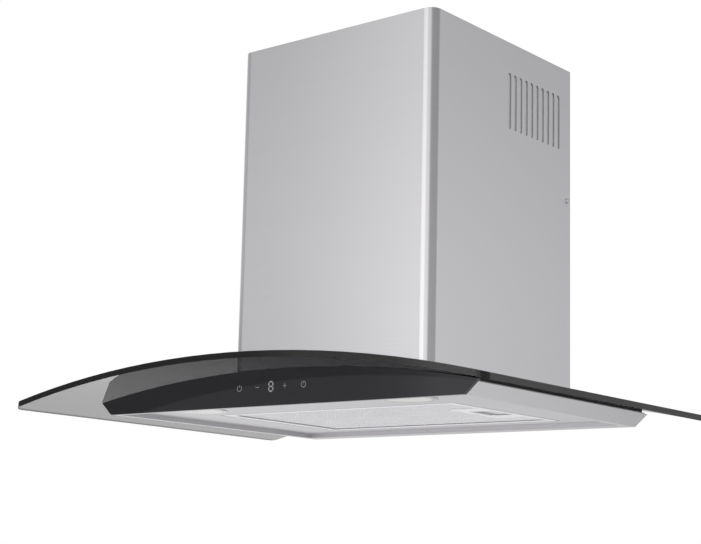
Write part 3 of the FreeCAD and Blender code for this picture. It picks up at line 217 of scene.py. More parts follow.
def brushedSteel(name, spec):
    finish, tree, shader, place = newFinish(name, Metallic=spec["metal"], Anisotropic=0.3)
    tangent = addNode(tree, "ShaderNodeTangent", direction_type="RADIAL", axis="Z")
    tree.links.new(tangent.outputs[0], shader.inputs["Tangent"])
    lines = brushing(tree, place, spec["grain"])
    if "sideGrain" in spec:
        facing = addNode(tree, "ShaderNodeNewGeometry").outputs["Normal"]
        across = addNode(tree, "ShaderNodeSeparateXYZ", {0: facing}).outputs[0]
        sideways = sums(tree, "GREATER_THAN", sums(tree, "ABSOLUTE", across), 0.5)
        lines = switched(tree, sideways, lines, brushing(tree, place, spec["sideGrain"]))
    cloud = noise(tree, place, spec["cloud"], detail=3.0)
    coloured(tree, shader, ranged(tree, blended(tree, lines, cloud, 0.6), 0, 1), spec)
    roughened(tree, shader, blended(tree, lines, cloud, 0.55), spec)
    bumped(tree, shader, lines, spec["bump"], depth=0.0002)
    return finish


zincSheet = {
    "dark": (0.40, 0.41, 0.425),
    "light": (0.56, 0.565, 0.575),
    "spangle": 95.0,
    "cloud": 18.0,
    "rough": (0.34, 0.55),
    "bump": 0.05,
}


def galvanised(name, spec):
    finish, tree, shader, place = newFinish(name, Metallic=0.95)
    cells = addNode(tree, "ShaderNodeTexVoronoi", {"Vector": place, "Scale": spec["spangle"]})
    shade = addNode(tree, "ShaderNodeSeparateColor", {0: cells.outputs["Color"]}).outputs[0]
    cloud = noise(tree, place, spec["cloud"], detail=4.0)
    coloured(tree, shader, blended(tree, shade, cloud, 0.55), spec)
    roughened(tree, shader, shade, spec, 0, 1)
    bumped(tree, shader, shade, spec["bump"], depth=0.0002)
    return finish


smokedGlass = {
    "ior": 1.5,
    "surface": (0.98, 0.98, 0.98),
    "absorbTint": (0.085, 0.085, 0.092),
    "density": 182.0,    # per metre; about a quarter of the light passes 8 mm
    "wipes": 9.0,        # scale of the faint wiping marks
    "rough": (0.0, 0.012),
}


def smokedGlassFinish(name, spec):
    finish, tree, shader, place = newFinish(name, IOR=spec["ior"], Transmission_Weight=1.0)
    shader.inputs["Base Color"].default_value = (*spec["surface"], 1)
    wipes = noise(tree, place, spec["wipes"], detail=4.0)
    roughened(tree, shader, wipes, spec, 0.45, 0.75)
    inputs = {"Color": (*spec["absorbTint"], 1), "Density": spec["density"]}
    absorb = addNode(tree, "ShaderNodeVolumeAbsorption", inputs)
    tree.links.new(absorb.outputs[0], tree.nodes["Material Output"].inputs["Volume"])
    return finish


plasticLooks = {    # each names the record's slot that it finishes
    "fasciaGloss": {"slot": "black_gloss", "dark": (0.010, 0.0085, 0.0135), "light": (0.013, 0.0115, 0.0165),
                    "rough": (0.03, 0.06), "grain": 14.0, "bump": 0.0, "coat": 0.0, "ior": 1.4},
    "innerPlastic": {"slot": "inner_plastic", "dark": (0.030, 0.030, 0.032), "light": (0.050, 0.050, 0.053),
                     "rough": (0.42, 0.58), "grain": 900.0, "bump": 0.12, "coat": 0.0},
    "sealRubber": {"slot": "seal_rubber", "dark": (0.022, 0.022, 0.023), "light": (0.040, 0.039, 0.038),
                   "rough": (0.62, 0.80), "grain": 420.0, "bump": 0.15, "coat": 0.0},
    "latchPlastic": {"slot": "latch_plastic", "dark": (0.44, 0.44, 0.445), "light": (0.50, 0.50, 0.505),
                     "rough": (0.30, 0.42), "grain": 600.0, "bump": 0.06, "coat": 0.0},
    "keyContact": {"slot": "key_contact", "dark": (0.16, 0.16, 0.16), "light": (0.22, 0.22, 0.22),
                   "rough": (0.55, 0.7), "grain": 700.0, "bump": 0.1, "coat": 0.0},
    "motorPaint": {"slot": "motor_paint", "dark": (0.10, 0.11, 0.12), "light": (0.15, 0.155, 0.165),
                   "rough": (0.35, 0.5), "grain": 260.0, "bump": 0.10, "coat": 0.2},
    "capacitorCase": {"slot": "capacitor_case", "dark": (0.62, 0.63, 0.64), "light": (0.72, 0.73, 0.74),
                      "rough": (0.38, 0.5), "grain": 500.0, "bump": 0.05, "coat": 0.0},
    "displayWindow": {"slot": "display_window", "dark": (0.025, 0.025, 0.028), "light": (0.045, 0.045, 0.05),
                      "rough": (0.1, 0.18), "grain": 300.0, "bump": 0.0, "coat": 0.3},
}


def moulded(name, spec):
    levels = {"Coat_Weight": spec["coat"], "Coat_Roughness": 0.03, "IOR": spec.get("ior", 1.5)}
    finish, tree, shader, place = newFinish(name, **levels)
    fine = noise(tree, place, spec["grain"])
    cloud = noise(tree, place, scale=12.0, detail=3.0)
    share = blended(tree, fine, cloud, 0.4)
    coloured(tree, shader, ranged(tree, share, 0, 1), spec)
    roughened(tree, shader, share, spec)
    if spec["bump"]:
        bumped(tree, shader, fine, spec["bump"], depth=0.0001)
    return finish


metalLooks = {
    "filterAluminium": {"slot": "mesh_aluminium", "dark": (0.845, 0.84, 0.865), "light": (0.925, 0.92, 0.945),
                        "rough": (0.30, 0.45), "grain": (300, 300, 300)},
    "lampTrim": {"slot": "lamp_trim", "dark": (0.60, 0.60, 0.61), "light": (0.68, 0.68, 0.69),
                 "rough": (0.12, 0.22), "grain": (200, 200, 200)},
    "shaftSteel": {"slot": "shaft_steel", "dark": (0.50, 0.50, 0.51), "light": (0.62, 0.62, 0.63),
                   "rough": (0.18, 0.30), "grain": (1500, 20, 20)},
    "fastenerSteel": {"slot": "fastener_steel", "dark": (0.56, 0.57, 0.575), "light": (0.68, 0.685, 0.69),
                      "rough": (0.22, 0.38), "grain": (500, 500, 500)},
    "motorIron": {"slot": "motor_iron", "dark": (0.20, 0.20, 0.205), "light": (0.34, 0.34, 0.345),
                  "rough": (0.40, 0.6), "grain": (1800, 40, 40)},
    "bushBronze": {"slot": "bush_bronze", "dark": (0.42, 0.27, 0.12), "light": (0.58, 0.40, 0.20),
                   "rough": (0.40, 0.55), "grain": (900, 900, 900)},
}


def plainMetal(name, spec):
    finish, tree, shader, place = newFinish(name, Metallic=1.0)
    grain = noise(tree, stretched(tree, place, spec["grain"]), scale=1.0, detail=3.0)
    cloud = noise(tree, place, scale=30.0, detail=3.0)
    coloured(tree, shader, ranged(tree, blended(tree, grain, cloud, 0.6), 0, 1), spec)
    roughened(tree, shader, grain, spec)
    bumped(tree, shader, grain, strength=0.05, depth=0.0001)
    return finish


lampLens = {
    "dark": (0.70, 0.70, 0.69),
    "light": (0.80, 0.80, 0.79),
    "rough": 0.35,
    "coat": 0.3,
    "ringPitch": 1.6,    # mm between the moulded rings
    "bump": 0.35,
}


def lampCentre(side):
    low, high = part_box("lamp_lens_" + side)
    return (low + high) / 2


def lampLensFinish(name, spec, centre):
    finish, tree, shader, place = newFinish(name, Roughness=spec["rough"], Coat_Weight=spec["coat"])
    offset = addNode(tree, "ShaderNodeMapping", {"Vector": place, "Location": tuple(-centre)})
    flat = addNode(tree, "ShaderNodeVectorMath", {0: offset.outputs[0], 1: (1, 1, 0)}, operation="MULTIPLY")
    away = addNode(tree, "ShaderNodeVectorMath", {0: flat.outputs[0]}, operation="LENGTH").outputs["Value"]
    rings = sums(tree, "SINE", product(tree, away, 2 * math.pi / (spec["ringPitch"] * millimetre)))
    coloured(tree, shader, ranged(tree, rings, 0, 1, -1, 1), spec)
    bumped(tree, shader, rings, spec["bump"], depth=0.0003)
    return finish


boardLook = {
    "mask": (0.012, 0.09, 0.035),
    "track": (0.02, 0.14, 0.055),
    "copper": 260.0,    # scale of the track pattern
    "rough": 0.32,
    "coat": 0.3,
    "bump": 0.2,
}


def boardFinish(name, spec):
    finish, tree, shader, place = newFinish(name, Roughness=spec["rough"], Coat_Weight=spec["coat"])
    cells = addNode(tree, "ShaderNodeTexVoronoi", {"Vector": place, "Scale": spec["copper"]},
                    distance="CHEBYCHEV", feature="F1")
    gaps = ranged(tree, cells.outputs["Distance"], 0, 1, 0.1, 0.5)
    tree.links.new(tinted(tree, gaps, spec["track"], spec["mask"]), shader.inputs["Base Color"])
    bumped(tree, shader, gaps, spec["bump"], depth=0.0001)
    return finish


def printedFinish(name, colour, glow=0.0):
    finish, tree, shader, place = newFinish(name, Roughness=0.45)
    grain = noise(tree, place, scale=2500.0)
    worn = tuple(0.85 * part for part in colour)
    tree.links.new(tinted(tree, ranged(tree, grain, 0, 1), worn, colour), shader.inputs["Base Color"])
    shader.inputs["Emission Color"].default_value = (*colour, 1)
    shader.inputs["Emission Strength"].default_value = glow
    return finish


finishes = {    # by the record's slot
    "smoked_glass": smokedGlassFinish("smokedGlass", smokedGlass),
    "brushed_steel": brushedSteel("chimneySteel", chimneySteel),
    "zinc_sheet": galvanised("zincSheet", zincSheet),
    "board_green": boardFinish("boardGreen", boardLook),
}
finishes.update({spec["slot"]: moulded(name, spec) for name, spec in plasticLooks.items()})
finishes.update({spec["slot"]: plainMetal(name, spec) for name, spec in metalLooks.items()})

ownFinishes = {    # nodes that differ from the rest of their slot
    "chimney_extension": brushedSteel("innerSteel", innerSteel),
    "hood_body": brushedSteel("bodySteel", bodySteel),
    "lamp_lens_left": lampLensFinish("lampLensLeft", lampLens, lampCentre("left")),
    "lamp_lens_right": lampLensFinish("lampLensRight", lampLens, lampCentre("right")),
}
slotOf = {part["node"]: part["material_slot"] for part in frame["record"]["subparts"]}


def finishOf(node):
    return ownFinishes.get(node) or finishes[slotOf[node]]


for node, thing in nodes.items():
    for slot in thing.material_slots:
        slot.material = finishOf(node)
print("finishes given to", len(nodes), "nodes")


# pieces

def meshObject(name, mesh, finish):
    thing = bpy.data.objects.new(name, mesh)
    bpy.context.scene.collection.objects.link(thing)
    mesh.materials.clear()
    mesh.materials.append(finish)
    return thing


def meshOf(built, name):
    mesh = bpy.data.meshes.new(name)
    built.to_mesh(mesh)
    built.free()
    return mesh


def mergedCopy(node):
    # a node's loose triangles, joined where they meet
    merged = bmesh.new()
    merged.from_mesh(nodes[node].data)
    bmesh.ops.remove_doubles(merged, verts=merged.verts, dist=2e-6)
    return merged


def baked(thing):
    graph = bpy.context.evaluated_depsgraph_get()
    plain = bpy.data.meshes.new_from_object(thing.evaluated_get(graph))
    thing.modifiers.clear()
    thing.data = plain


def bodyOf(node):
    return nodes[node].parent.name.split(":")[1]


def settle(thing, node):
    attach(thing, bodyOf(node))
    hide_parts(node)


# eased edges: a merged copy of a node's mesh with its sharp edges rounded

sharpAngle = 30      # degrees; edges sharper than this are rounded
flatAngle = 0.1      # degrees; faces flatter than this are joined first
easedEdges = {       # width in mm
    "hood_body": {"width": 0.45, "steps": 3},
    "control_fascia": {"width": 0.7, "steps": 3},
    "glass_canopy": {"width": 1.1, "steps": 3},
    "filter_frame": {"width": 0.25, "steps": 2},
    "filter_latch_plate": {"width": 0.3, "steps": 2},
    "filter_latch": {"width": 0.3, "steps": 2},
}


def easeEdges(node, spec):
    merged = mergedCopy(node)
    flat = math.radians(flatAngle)
    bmesh.ops.dissolve_limit(merged, angle_limit=flat, verts=merged.verts, edges=merged.edges)
    for face in merged.faces:
        face.smooth = True
    thing = meshObject(node + "_eased", meshOf(merged, node + "_eased"), finishOf(node))
    bevel = thing.modifiers.new("eased", "BEVEL")
    bevel.width = spec["width"] * millimetre
    bevel.segments = spec["steps"]
    bevel.limit_method = "ANGLE"
    bevel.angle_limit = math.radians(sharpAngle)
    weighted = thing.modifiers.new("flatFaces", "WEIGHTED_NORMAL")
    weighted.mode = "FACE_AREA"
    weighted.weight = 100
    baked(thing)
    settle(thing, node)
    print(thing.name, len(thing.data.polygons), "faces")


for node, spec in easedEdges.items():
    easeEdges(node, spec)


# geometry trees

def newGeometryTree(name, sockets):
    tree = bpy.data.node_groups.new(name, "GeometryNodeTree")
    tree.interface.new_socket("Geometry", in_out="INPUT", socket_type="NodeSocketGeometry")
    for label, kind in sockets:
        tree.interface.new_socket(label, in_out="INPUT", socket_type="NodeSocket" + kind)
    tree.interface.new_socket("Geometry", in_out="OUTPUT", socket_type="NodeSocketGeometry")
    return tree, tree.nodes.new("NodeGroupInput").outputs


def shaped(tree, kind, geometry, **inputs):
    # one geometry node, fed by the one before it
    named = {key.replace("_", " "): value for key, value in inputs.items()}
    return addNode(tree, kind, {0: geometry, **named}).outputs[0]


def endTree(tree, geometry, finish):
    real = shaped(tree, "GeometryNodeRealizeInstances", geometry)
    finished = shaped(tree, "GeometryNodeSetMaterial", real, Material=finish)
    out = tree.nodes.new("NodeGroupOutput")
    tree.links.new(finished, out.inputs[0])
    return tree


def runTree(thing, tree, values):
    modifier = thing.modifiers.new(tree.name, "NODES")
    modifier.node_group = tree
    for item in tree.interface.items_tree:
        if item.item_type == "SOCKET" and item.in_out == "INPUT" and item.name in values:
            modifier[item.identifier] = values[item.name]
    baked(thing)


# grease filter: layers of expanded aluminium

filterWeave = {    # mm
    "inset": 0.6,      # from the plain sheets' edges
    "strand": 0.34,    # half the strand
    "rise": 0.22,
    "layers": [        # height above the lowest sheet, and a diamond's width and depth
        {"up": 0.5, "cell": (6.0, 3.6)},
        {"up": 2.2, "cell": (6.0, 9.0)},
        {"up": 4.2, "cell": (9.0, 6.0)},
    ],
}


def diamondMeshTree():
    # a square grid on its corner, stretched to diamonds, trimmed, waved and given thickness
    tree, given = newGeometryTree("diamondMesh", [
        ("Wide", "Float"), ("Deep", "Float"), ("Cell Wide", "Float"), ("Cell Deep", "Float"),
        ("Strand", "Float"), ("Rise", "Float"), ("Centre", "Vector"), ("Finish", "Material")])
    across = sums(tree, "DIVIDE", given["Wide"], given["Cell Wide"])
    along = sums(tree, "DIVIDE", given["Deep"], given["Cell Deep"])
    cells = sums(tree, "CEIL", sums(tree, "ADD", sums(tree, "ADD", across, along), 2.0))    # two to spare
    points = sums(tree, "ADD", cells, 1.0)
    counts = {"Size X": cells, "Size Y": cells, "Vertices X": points, "Vertices Y": points}
    grid = addNode(tree, "GeometryNodeMeshGrid", counts).outputs[0]
    turned = shaped(tree, "GeometryNodeTransform", grid, Rotation=(0, 0, math.pi / 4))
    side = 1 / math.sqrt(2)    # of a unit square on its corner
    sideWide, sideDeep = [product(tree, given[label], side) for label in ("Cell Wide", "Cell Deep")]
    scale = addNode(tree, "ShaderNodeCombineXYZ", {0: sideWide, 1: sideDeep, 2: 1.0}).outputs[0]
    sized = shaped(tree, "GeometryNodeTransform", turned, Scale=scale)

    position = addNode(tree, "GeometryNodeInputPosition").outputs[0]
    spot = addNode(tree, "ShaderNodeSeparateXYZ", {0: position}).outputs

    def pastEdge(distance, size):
        reach = sums(tree, "ABSOLUTE", distance)
        return sums(tree, "GREATER_THAN", reach, sums(tree, "DIVIDE", size, 2.0))

    outside = sums(tree, "MAXIMUM", pastEdge(spot[0], given["Wide"]), pastEdge(spot[1], given["Deep"]))
    trimmed = shaped(tree, "GeometryNodeDeleteGeometry", sized, Selection=outside)
    swing = product(tree, sums(tree, "DIVIDE", spot[0], given["Cell Wide"]), 2 * math.pi)
    lift = product(tree, sums(tree, "COSINE", swing), given["Rise"])
    offset = addNode(tree, "ShaderNodeCombineXYZ", {2: lift}).outputs[0]
    waved = shaped(tree, "GeometryNodeSetPosition", trimmed, Offset=offset)
    lines = shaped(tree, "GeometryNodeMeshToCurve", waved)
    section = addNode(tree, "GeometryNodeCurvePrimitiveCircle", {"Resolution": 4, "Radius": given["Strand"]})
    strands = shaped(tree, "GeometryNodeCurveToMesh", lines, Profile_Curve=section.outputs[0])
    placed = shaped(tree, "GeometryNodeTransform", strands, Translation=given["Centre"])
    return endTree(tree, placed, given["Finish"])


def makeFilterWeave(spec):
    tree = diamondMeshTree()
    low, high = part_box("filter_mesh")
    middle = (low + high) / 2
    edge = 2 * spec["inset"] * millimetre
    strand = spec["strand"] * millimetre
    for index, layer in enumerate(spec["layers"], start=1):
        name = "filter_weave_%d" % index
        thing = meshObject(name, bpy.data.meshes.new(name), finishes["mesh_aluminium"])
        cellWide, cellDeep = layer["cell"]
        runTree(thing, tree, {
            "Wide": high.x - low.x - edge, "Deep": high.y - low.y - edge,
            "Cell Wide": cellWide * millimetre, "Cell Deep": cellDeep * millimetre,
            "Strand": strand, "Rise": spec["rise"] * millimetre,
            "Centre": (middle.x, middle.y, low.z + layer["up"] * millimetre + strand),
            "Finish": finishes["mesh_aluminium"]})
        settle(thing, "filter_mesh")
        print(name, len(thing.data.polygons), "faces")


makeFilterWeave(filterWeave)


# screws: cross-recessed pan heads on shanks, at the plain screws' places

screwLook = {    # mm
    "headTall": 2.2,
    "headProfile": [(1.0, 0.0), (1.0, 0.4), (0.93, 0.72), (0.8, 0.9), (0.62, 1.0)],    # of radius and height
    "shank": 1.75,         # radius
    "shankTip": 0.7,       # of the shank's radius
    "crossLong": 1.45,
    "crossWide": 0.36,
    "crossDeep": 1.0,
    "crossFloor": 0.6,     # of the cross's size at its brim
    "sides": 28,
}
screwSets = {    # the axis each set lies along, and which way its heads face; 0 is away from the middle
    "chimney_screws": ("x", 0),
    "lid_screws": ("x", 1),
    "outlet_screws": ("z", 1),
    "box_screws": ("y", -1),
    "scroll_screws": ("x", -1),
    "motor_screws": ("x", 1),
    "fascia_screws": ("y", 1),
}


def islandBoxes(node):
    # the corners of each separate solid in a node
    merged = mergedCopy(node)
    left = set(merged.verts)
    boxes = []
    while left:
        waiting = [left.pop()]
        found = []
        while waiting:
            vertex = waiting.pop()
            found.append(vertex.co.copy())
            for edge in vertex.link_edges:
                other = edge.other_vert(vertex)
                if other in left:
                    left.remove(other)
                    waiting.append(other)
        boxes.append((Vector(map(min, zip(*found))), Vector(map(max, zip(*found)))))
    merged.free()
    return sorted(boxes, key=lambda pair: tuple(pair[0]))


def bandFaces(built, first, second):
    for index in range(len(first)):
        after = (index + 1) % len(first)
        built.faces.new((first[index], first[after], second[after], second[index]))


def screwMesh(name, radius, length, spec):
    # its seat is at z = 0, the head above and the shank below
    built = bmesh.new()
    tall = spec["headTall"] * millimetre
    shank = spec["shank"] * millimetre
    rings = [(spec["shankTip"] * shank, -length), (shank, shank - length), (shank, 0.0)]
    rings += [(share * radius, rise * tall) for share, rise in spec["headProfile"]]
    turns = [2 * math.pi * side / spec["sides"] for side in range(spec["sides"])]
    loops = []
    for reach, height in rings:
        corners = [(reach * math.cos(turn), reach * math.sin(turn), height) for turn in turns]
        loops.append([built.verts.new(corner) for corner in corners])
    built.faces.new(list(reversed(loops[0])))
    for lower, upper in zip(loops, loops[1:]):
        bandFaces(built, lower, upper)
    long, half = spec["crossLong"] * millimetre, spec["crossWide"] * millimetre
    outline = [(long, -half), (long, half), (half, half), (half, long), (-half, long), (-half, half),
               (-long, half), (-long, -half), (-half, -half), (-half, -long), (half, -long), (half, -half)]
    brim = [built.verts.new((x, y, tall)) for x, y in outline]
    deep, share = spec["crossDeep"] * millimetre, spec["crossFloor"]
    floor = [built.verts.new((share * x, share * y, tall - deep)) for x, y in outline]
    edges = []
    for loop in (loops[-1], brim):
        for index, vertex in enumerate(loop):
            after = loop[(index + 1) % len(loop)]
            edges.append(built.edges.get((vertex, after)) or built.edges.new((vertex, after)))
    bmesh.ops.triangle_fill(built, use_beauty=True, use_dissolve=False, edges=edges)
    bandFaces(built, brim, floor)
    built.faces.new(floor)
    bmesh.ops.recalc_face_normals(built, faces=built.faces)
    return meshOf(built, name)


def screwTree():
    tree, given = newGeometryTree("screwsAtPoints", [("Screw", "Object"), ("Finish", "Material")])
    facing = addNode(tree, "GeometryNodeInputNamedAttribute", {"Name": "facing"}, data_type="FLOAT_VECTOR")
    turned = addNode(tree, "FunctionNodeAlignRotationToVector", {"Vector": facing.outputs[0]}, axis="Z")
    single = addNode(tree, "GeometryNodeObjectInfo", {"Object": given["Screw"]}).outputs["Geometry"]
    spread = shaped(tree, "GeometryNodeInstanceOnPoints", given["Geometry"],
                    Instance=single, Rotation=turned.outputs[0])
    return endTree(tree, spread, given["Finish"])


def screwPoints(name, boxes, line, way, headTall):
    # a point at each screw's seat, with the way its head faces
    seats, facings = [], []
    for low, high in boxes:
        middle = (low + high) / 2
        sign = way or math.copysign(1, middle[line])
        seat = middle.copy()
        seat[line] = (high if sign > 0 else low)[line] - sign * headTall
        facing = Vector((0, 0, 0))
        facing[line] = sign
        seats.append(seat)
        facings.append(facing)
    points = bpy.data.meshes.new(name)
    points.from_pydata(seats, [], [])
    points.attributes.new("facing", "FLOAT_VECTOR", "POINT")
    for index, facing in enumerate(facings):
        points.attributes["facing"].data[index].vector = facing
    return points


def makeScrews(sets, spec):
    tree = screwTree()
    steel = finishes["fastener_steel"]
    headTall = spec["headTall"] * millimetre
    for node, (axis, way) in sets.items():
        boxes = islandBoxes(node)
        line = "xyz".index(axis)
        low, high = boxes[0]
        radius = max((high - low)[index] for index in range(3) if index != line) / 2
        length = (high - low)[line] - headTall
        single = meshObject("single_" + node, screwMesh(node + "_single", radius, length, spec), steel)
        points = screwPoints(node + "_points", boxes, line, way, headTall)
        thing = meshObject(node + "_crosshead", points, steel)
        runTree(thing, tree, {"Screw": single, "Finish": steel})
        bpy.data.objects.remove(single)
        for face in thing.data.polygons:
            face.use_smooth = False
        settle(thing, node)
        print(thing.name, len(boxes), "screws,", len(thing.data.polygons), "faces")


makeScrews(screwSets, screwLook)


# marks printed on the fascia

def strip(points, width, closed=False):
    # a flat ribbon through points in X and Z, as quads
    count = len(points)
    sides = []
    for index, point in enumerate(points):
        before = points[(index - 1) % count] if closed or index else point
        after = points[(index + 1) % count] if closed or index < count - 1 else point
        way = (Vector(after) - Vector(before)).normalized()
        across = Vector((-way.y, way.x)) * width / 2
        sides.append((Vector(point) + across, Vector(point) - across))
    following = sides[1:] + sides[:1] if closed else sides[1:]
    return [(here[0], there[0], there[1], here[1]) for here, there in zip(sides, following)]


def arcPoints(radius, start, end, steps=28):
    # degrees, clockwise from the top
    turns = [math.radians(start + (end - start) * step / steps) for step in range(steps + 1)]
    return [(radius * math.sin(turn), radius * math.cos(turn)) for turn in turns]


def moved(quads, x, z):
    return [tuple(Vector((corner.x + x, corner.y + z)) for corner in quad) for quad in quads]


def raisedMarks(name, quads, front, proud, finish):
    built = bmesh.new()
    for quad in quads:
        back = [built.verts.new((corner.x, front, corner.y)) for corner in quad]
        face = [built.verts.new((corner.x, front - proud, corner.y)) for corner in quad]
        built.faces.new(face)
        built.faces.new(list(reversed(back)))
        bandFaces(built, back, face)
    bmesh.ops.recalc_face_normals(built, faces=built.faces)
    thing = meshObject(name, meshOf(built, name), finish)
    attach(thing, "root")
    return thing


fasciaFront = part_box("control_fascia")[0].y
printProud = 0.06 * millimetre    # how far the print stands off the fascia

keyMarks = {    # mm
    "stroke": 0.55,
    "size": 2.9,
    "colour": (0.42, 0.42, 0.43),
}


def makeKeyMarks(spec):
    # each over its touch contact; the shares are of the mark's size
    size = spec["size"] * millimetre
    stroke = spec["stroke"] * millimetre
    power = strip(arcPoints(size, 35, 325), stroke) + strip([(0, 0.35 * size), (0, 1.25 * size)], stroke)
    minus = strip([(-0.8 * size, 0), (0.8 * size, 0)], stroke)
    plus = minus + strip([(0, -0.8 * size), (0, 0.8 * size)], stroke)
    hands = strip([(0, 0.62 * size), (0, 0), (0.45 * size, 0)], 0.8 * stroke)
    timer = strip(arcPoints(size, 0, 360)[:-1], stroke, True) + hands
    boxes = islandBoxes("touch_contacts")
    places = sorted(((low + high) / 2 for low, high in boxes), key=lambda place: place.x)
    quads = []
    for shape, place in zip((power, minus, plus, timer), places):
        quads += moved(shape, place.x, places[0].z)
    finish = printedFinish("keyPrint", spec["colour"])
    marks = raisedMarks("key_marks", quads, fasciaFront, printProud, finish)


makeKeyMarks(keyMarks)

litDigit = {    # mm
    "wide": 5.2,
    "tall": 9.4,
    "stroke": 1.25,
    "gap": 0.62,    # of the stroke, from a segment's end to the corner
    "colour": (0.46, 0.46, 0.48),
    "glow": 0.12,
}


def makeLitDigit(spec):
    # seven segments over the display module
    wide, tall = spec["wide"] * millimetre / 2, spec["tall"] * millimetre / 2
    bar = spec["stroke"] * millimetre
    gap = spec["gap"] * bar
    segments = []
    for z in (-tall, 0, tall):
        segments += strip([(gap - wide, z), (wide - gap, z)], bar)
    for x in (-wide, wide):
        for z in (-tall, 0):
            segments += strip([(x, z + gap), (x, z + tall - gap)], bar)
    low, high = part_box("display_module")
    middle = (low + high) / 2
    finish = printedFinish("litDigit", spec["colour"], spec["glow"])
    digit = raisedMarks("lit_digit", moved(segments, middle.x, middle.z), fasciaFront, printProud, finish)


makeLitDigit(litDigit)
print("key marks and digit made")


# studio

studio = {
    "floorHeight": -0.95,
    "floorHalf": 6.0,
    "floorColour": (0.88, 0.88, 0.88),
    # painted shade: the floor's darker tone towards the back right, there only to darken what the steel
    # reflects
    "floorPaintedShade": (0.50, 0.50, 0.50),
    "paintedShadeWay": (0.6, 0.8, 0),
    "paintedShadeReach": (0.9, 1.6),    # metres towards the back right, over which the floor is painted darker as a painted shade for the steel's reflections
    "rimGlow": 1.1,
    "rimFade": (1.0, 3.0),      # metres from the middle, where the floor turns to plain glow
    "diffuse": 0.82,
    # azimuth in degrees from the front towards the right, and the level that gloss sees there
    "gloss": [(-179.9, 0.92), (-120, 0.94), (-60, 0.66), (-46, 0.73), (-38, 0.87), (-36.7, 0.92),
              (-35.7, 1.55), (2, 1.80), (8, 1.30), (42, 1.20), (46, 0.56), (128, 0.52),
              (134, 0.94), (144, 1.03), (151, 0.66), (160, 0.60), (180, 0.92)],
    "glossTop": 1.8,
    "glossHigh": {"start": 10.0, "end": 21.0, "dim": 0.26},    # degrees up
    "glossWedge": {    # a darker slanting panel, in degrees; the left of the fascia mirrors it
        "azimuth": -46.9, "height": 5.4, "slope": 0.342, "soft": 0.15,
        "right": (-42, -40), "top": (7.5, 9.5), "dim": 0.45},
    "lamps": {    # place, target, size in metres, power in watts
        "keyLamp": ((1.6, -2.6, 1.5), (0, -0.2, 0), 1.8, 26),
        "fillLamp": ((-2.4, -1.6, 0.9), (0, -0.2, 0), 1.8, 12),
        "backLamp": ((0.6, 2.2, 1.4), (0, -0.2, 0), 1.6, 14),
    },
}


def seenDirectly(tree):
    rays = addNode(tree, "ShaderNodeLightPath").outputs
    return sums(tree, "ADD", rays["Is Camera Ray"], rays["Is Transmission Ray"], True)


def glossRound(tree, turn, spec):
    ramp = addNode(tree, "ShaderNodeValToRGB", {0: ranged(tree, turn, 0, 1, -180, 180)})
    stops = ramp.color_ramp.elements
    while len(stops) > 1:
        stops.remove(stops[-1])
    for degrees, level in spec["gloss"]:
        stop = stops.new((degrees + 180) / 360)
        stop.color = (*[level / spec["glossTop"]] * 3, 1)
    stops.remove(stops[0])
    return product(tree, ramp.outputs[0], spec["glossTop"])


def wedgeShade(tree, turn, height, wedge):
    edge = product(tree, difference(tree, turn, wedge["azimuth"]), wedge["slope"])
    above = difference(tree, difference(tree, height, wedge["height"]), edge)
    inside = ranged(tree, above, 0, 1, 0, wedge["soft"])
    inside = product(tree, inside, ranged(tree, height, 1, 0, *wedge["top"]))
    inside = product(tree, inside, ranged(tree, turn, 1, 0, *wedge["right"]))
    return difference(tree, 1.0, product(tree, inside, wedge["dim"]))


def makeWorld(spec):
    world = bpy.data.worlds.new("studio")
    world.use_nodes = True
    tree = world.node_tree
    tree.nodes.clear()
    direction = addNode(tree, "ShaderNodeTexCoord").outputs["Generated"]
    part = addNode(tree, "ShaderNodeSeparateXYZ", {0: direction}).outputs
    degree = 180 / math.pi
    turn = product(tree, sums(tree, "ARCTAN2", part[0], product(tree, part[1], -1.0)), degree)
    height = product(tree, sums(tree, "ARCSINE", part[2]), degree)
    high = spec["glossHigh"]
    gloss = product(tree, glossRound(tree, turn, spec), wedgeShade(tree, turn, height, spec["glossWedge"]))
    gloss = product(tree, gloss, ranged(tree, height, 1, 1 - high["dim"], high["start"], high["end"]))
    glossy = addNode(tree, "ShaderNodeLightPath").outputs["Is Glossy Ray"]
    level = switched(tree, glossy, spec["diffuse"], gloss)
    level = switched(tree, seenDirectly(tree), level, 1.0)
    sky = addNode(tree, "ShaderNodeBackground", {"Color": (1, 1, 1, 1), "Strength": level})
    addNode(tree, "ShaderNodeOutputWorld", {"Surface": sky.outputs[0]})
    bpy.context.scene.world = world


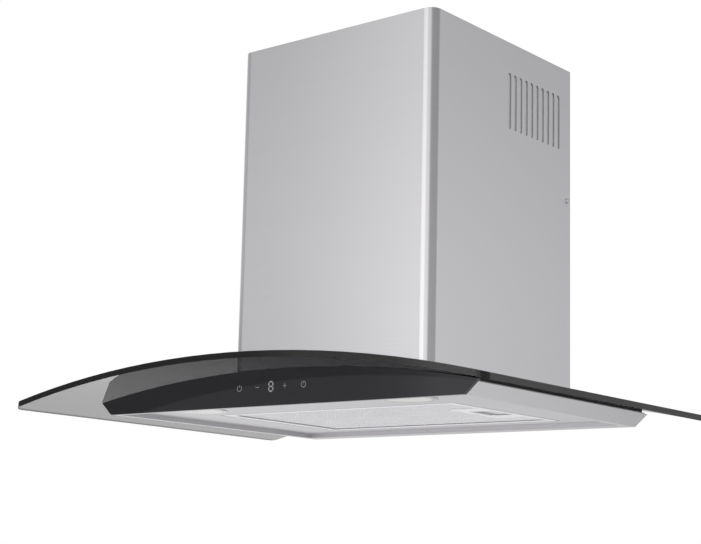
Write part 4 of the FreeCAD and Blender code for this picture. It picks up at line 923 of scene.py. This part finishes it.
def makeFloor(spec):
    half = spec["floorHalf"]
    mesh = bpy.data.meshes.new("floor")
    corners = [(-half, -half), (half, -half), (half, half), (-half, half)]
    mesh.from_pydata([(x, y, spec["floorHeight"]) for x, y in corners], [], [(0, 1, 2, 3)])
    finish, tree, shader, place = newFinish("paleFloor", Roughness=0.9)
    # the floor's colour is painted darker towards the back right, a painted shade that the camera never sees
    back = addNode(tree, "ShaderNodeVectorMath", {0: place, 1: spec["paintedShadeWay"]}, operation="DOT_PRODUCT")
    paintedShadeShare = ranged(tree, back.outputs["Value"], 0, 1, *spec["paintedShadeReach"])
    paintedShadeFloor = tinted(tree, paintedShadeShare, spec["floorColour"], spec["floorPaintedShade"])
    shade = tinted(tree, seenDirectly(tree), paintedShadeFloor, spec["floorColour"])    # camera and transmission rays see the plain floor; only reflections and bounced light see the painted shade
    tree.links.new(shade, shader.inputs["Base Color"])
    rim = addNode(tree, "ShaderNodeEmission", {"Color": shade, "Strength": spec["rimGlow"]})
    away = addNode(tree, "ShaderNodeVectorMath", {0: place}, operation="LENGTH").outputs["Value"]
    outer = ranged(tree, away, 0, 1, *spec["rimFade"])
    pale = addNode(tree, "ShaderNodeMixShader", {0: outer, 1: shader.outputs[0], 2: rim.outputs[0]})
    under = addNode(tree, "ShaderNodeNewGeometry").outputs["Backfacing"]
    clear = addNode(tree, "ShaderNodeBsdfTransparent")    # a camera below the floor looks through it
    shown = addNode(tree, "ShaderNodeMixShader", {0: under, 1: pale.outputs[0], 2: clear.outputs[0]})
    tree.links.new(shown.outputs[0], tree.nodes["Material Output"].inputs["Surface"])
    floor = meshObject("floor", mesh, finish)


def makeLamps(spec):
    for name, (place, target, size, power) in spec["lamps"].items():
        lamp = bpy.data.lights.new(name, "AREA")
        lamp.shape = "DISK"
        lamp.size = size
        lamp.energy = power
        thing = bpy.data.objects.new(name, lamp)
        thing.location = place
        thing.rotation_euler = (Vector(target) - Vector(place)).to_track_quat("-Z", "Y").to_euler()
        thing.visible_camera = False
        thing.visible_glossy = False
        bpy.context.scene.collection.objects.link(thing)


makeWorld(studio)
makeFloor(studio)
makeLamps(studio)
bpy.context.scene.view_settings.view_transform = "Standard"
print("studio made")
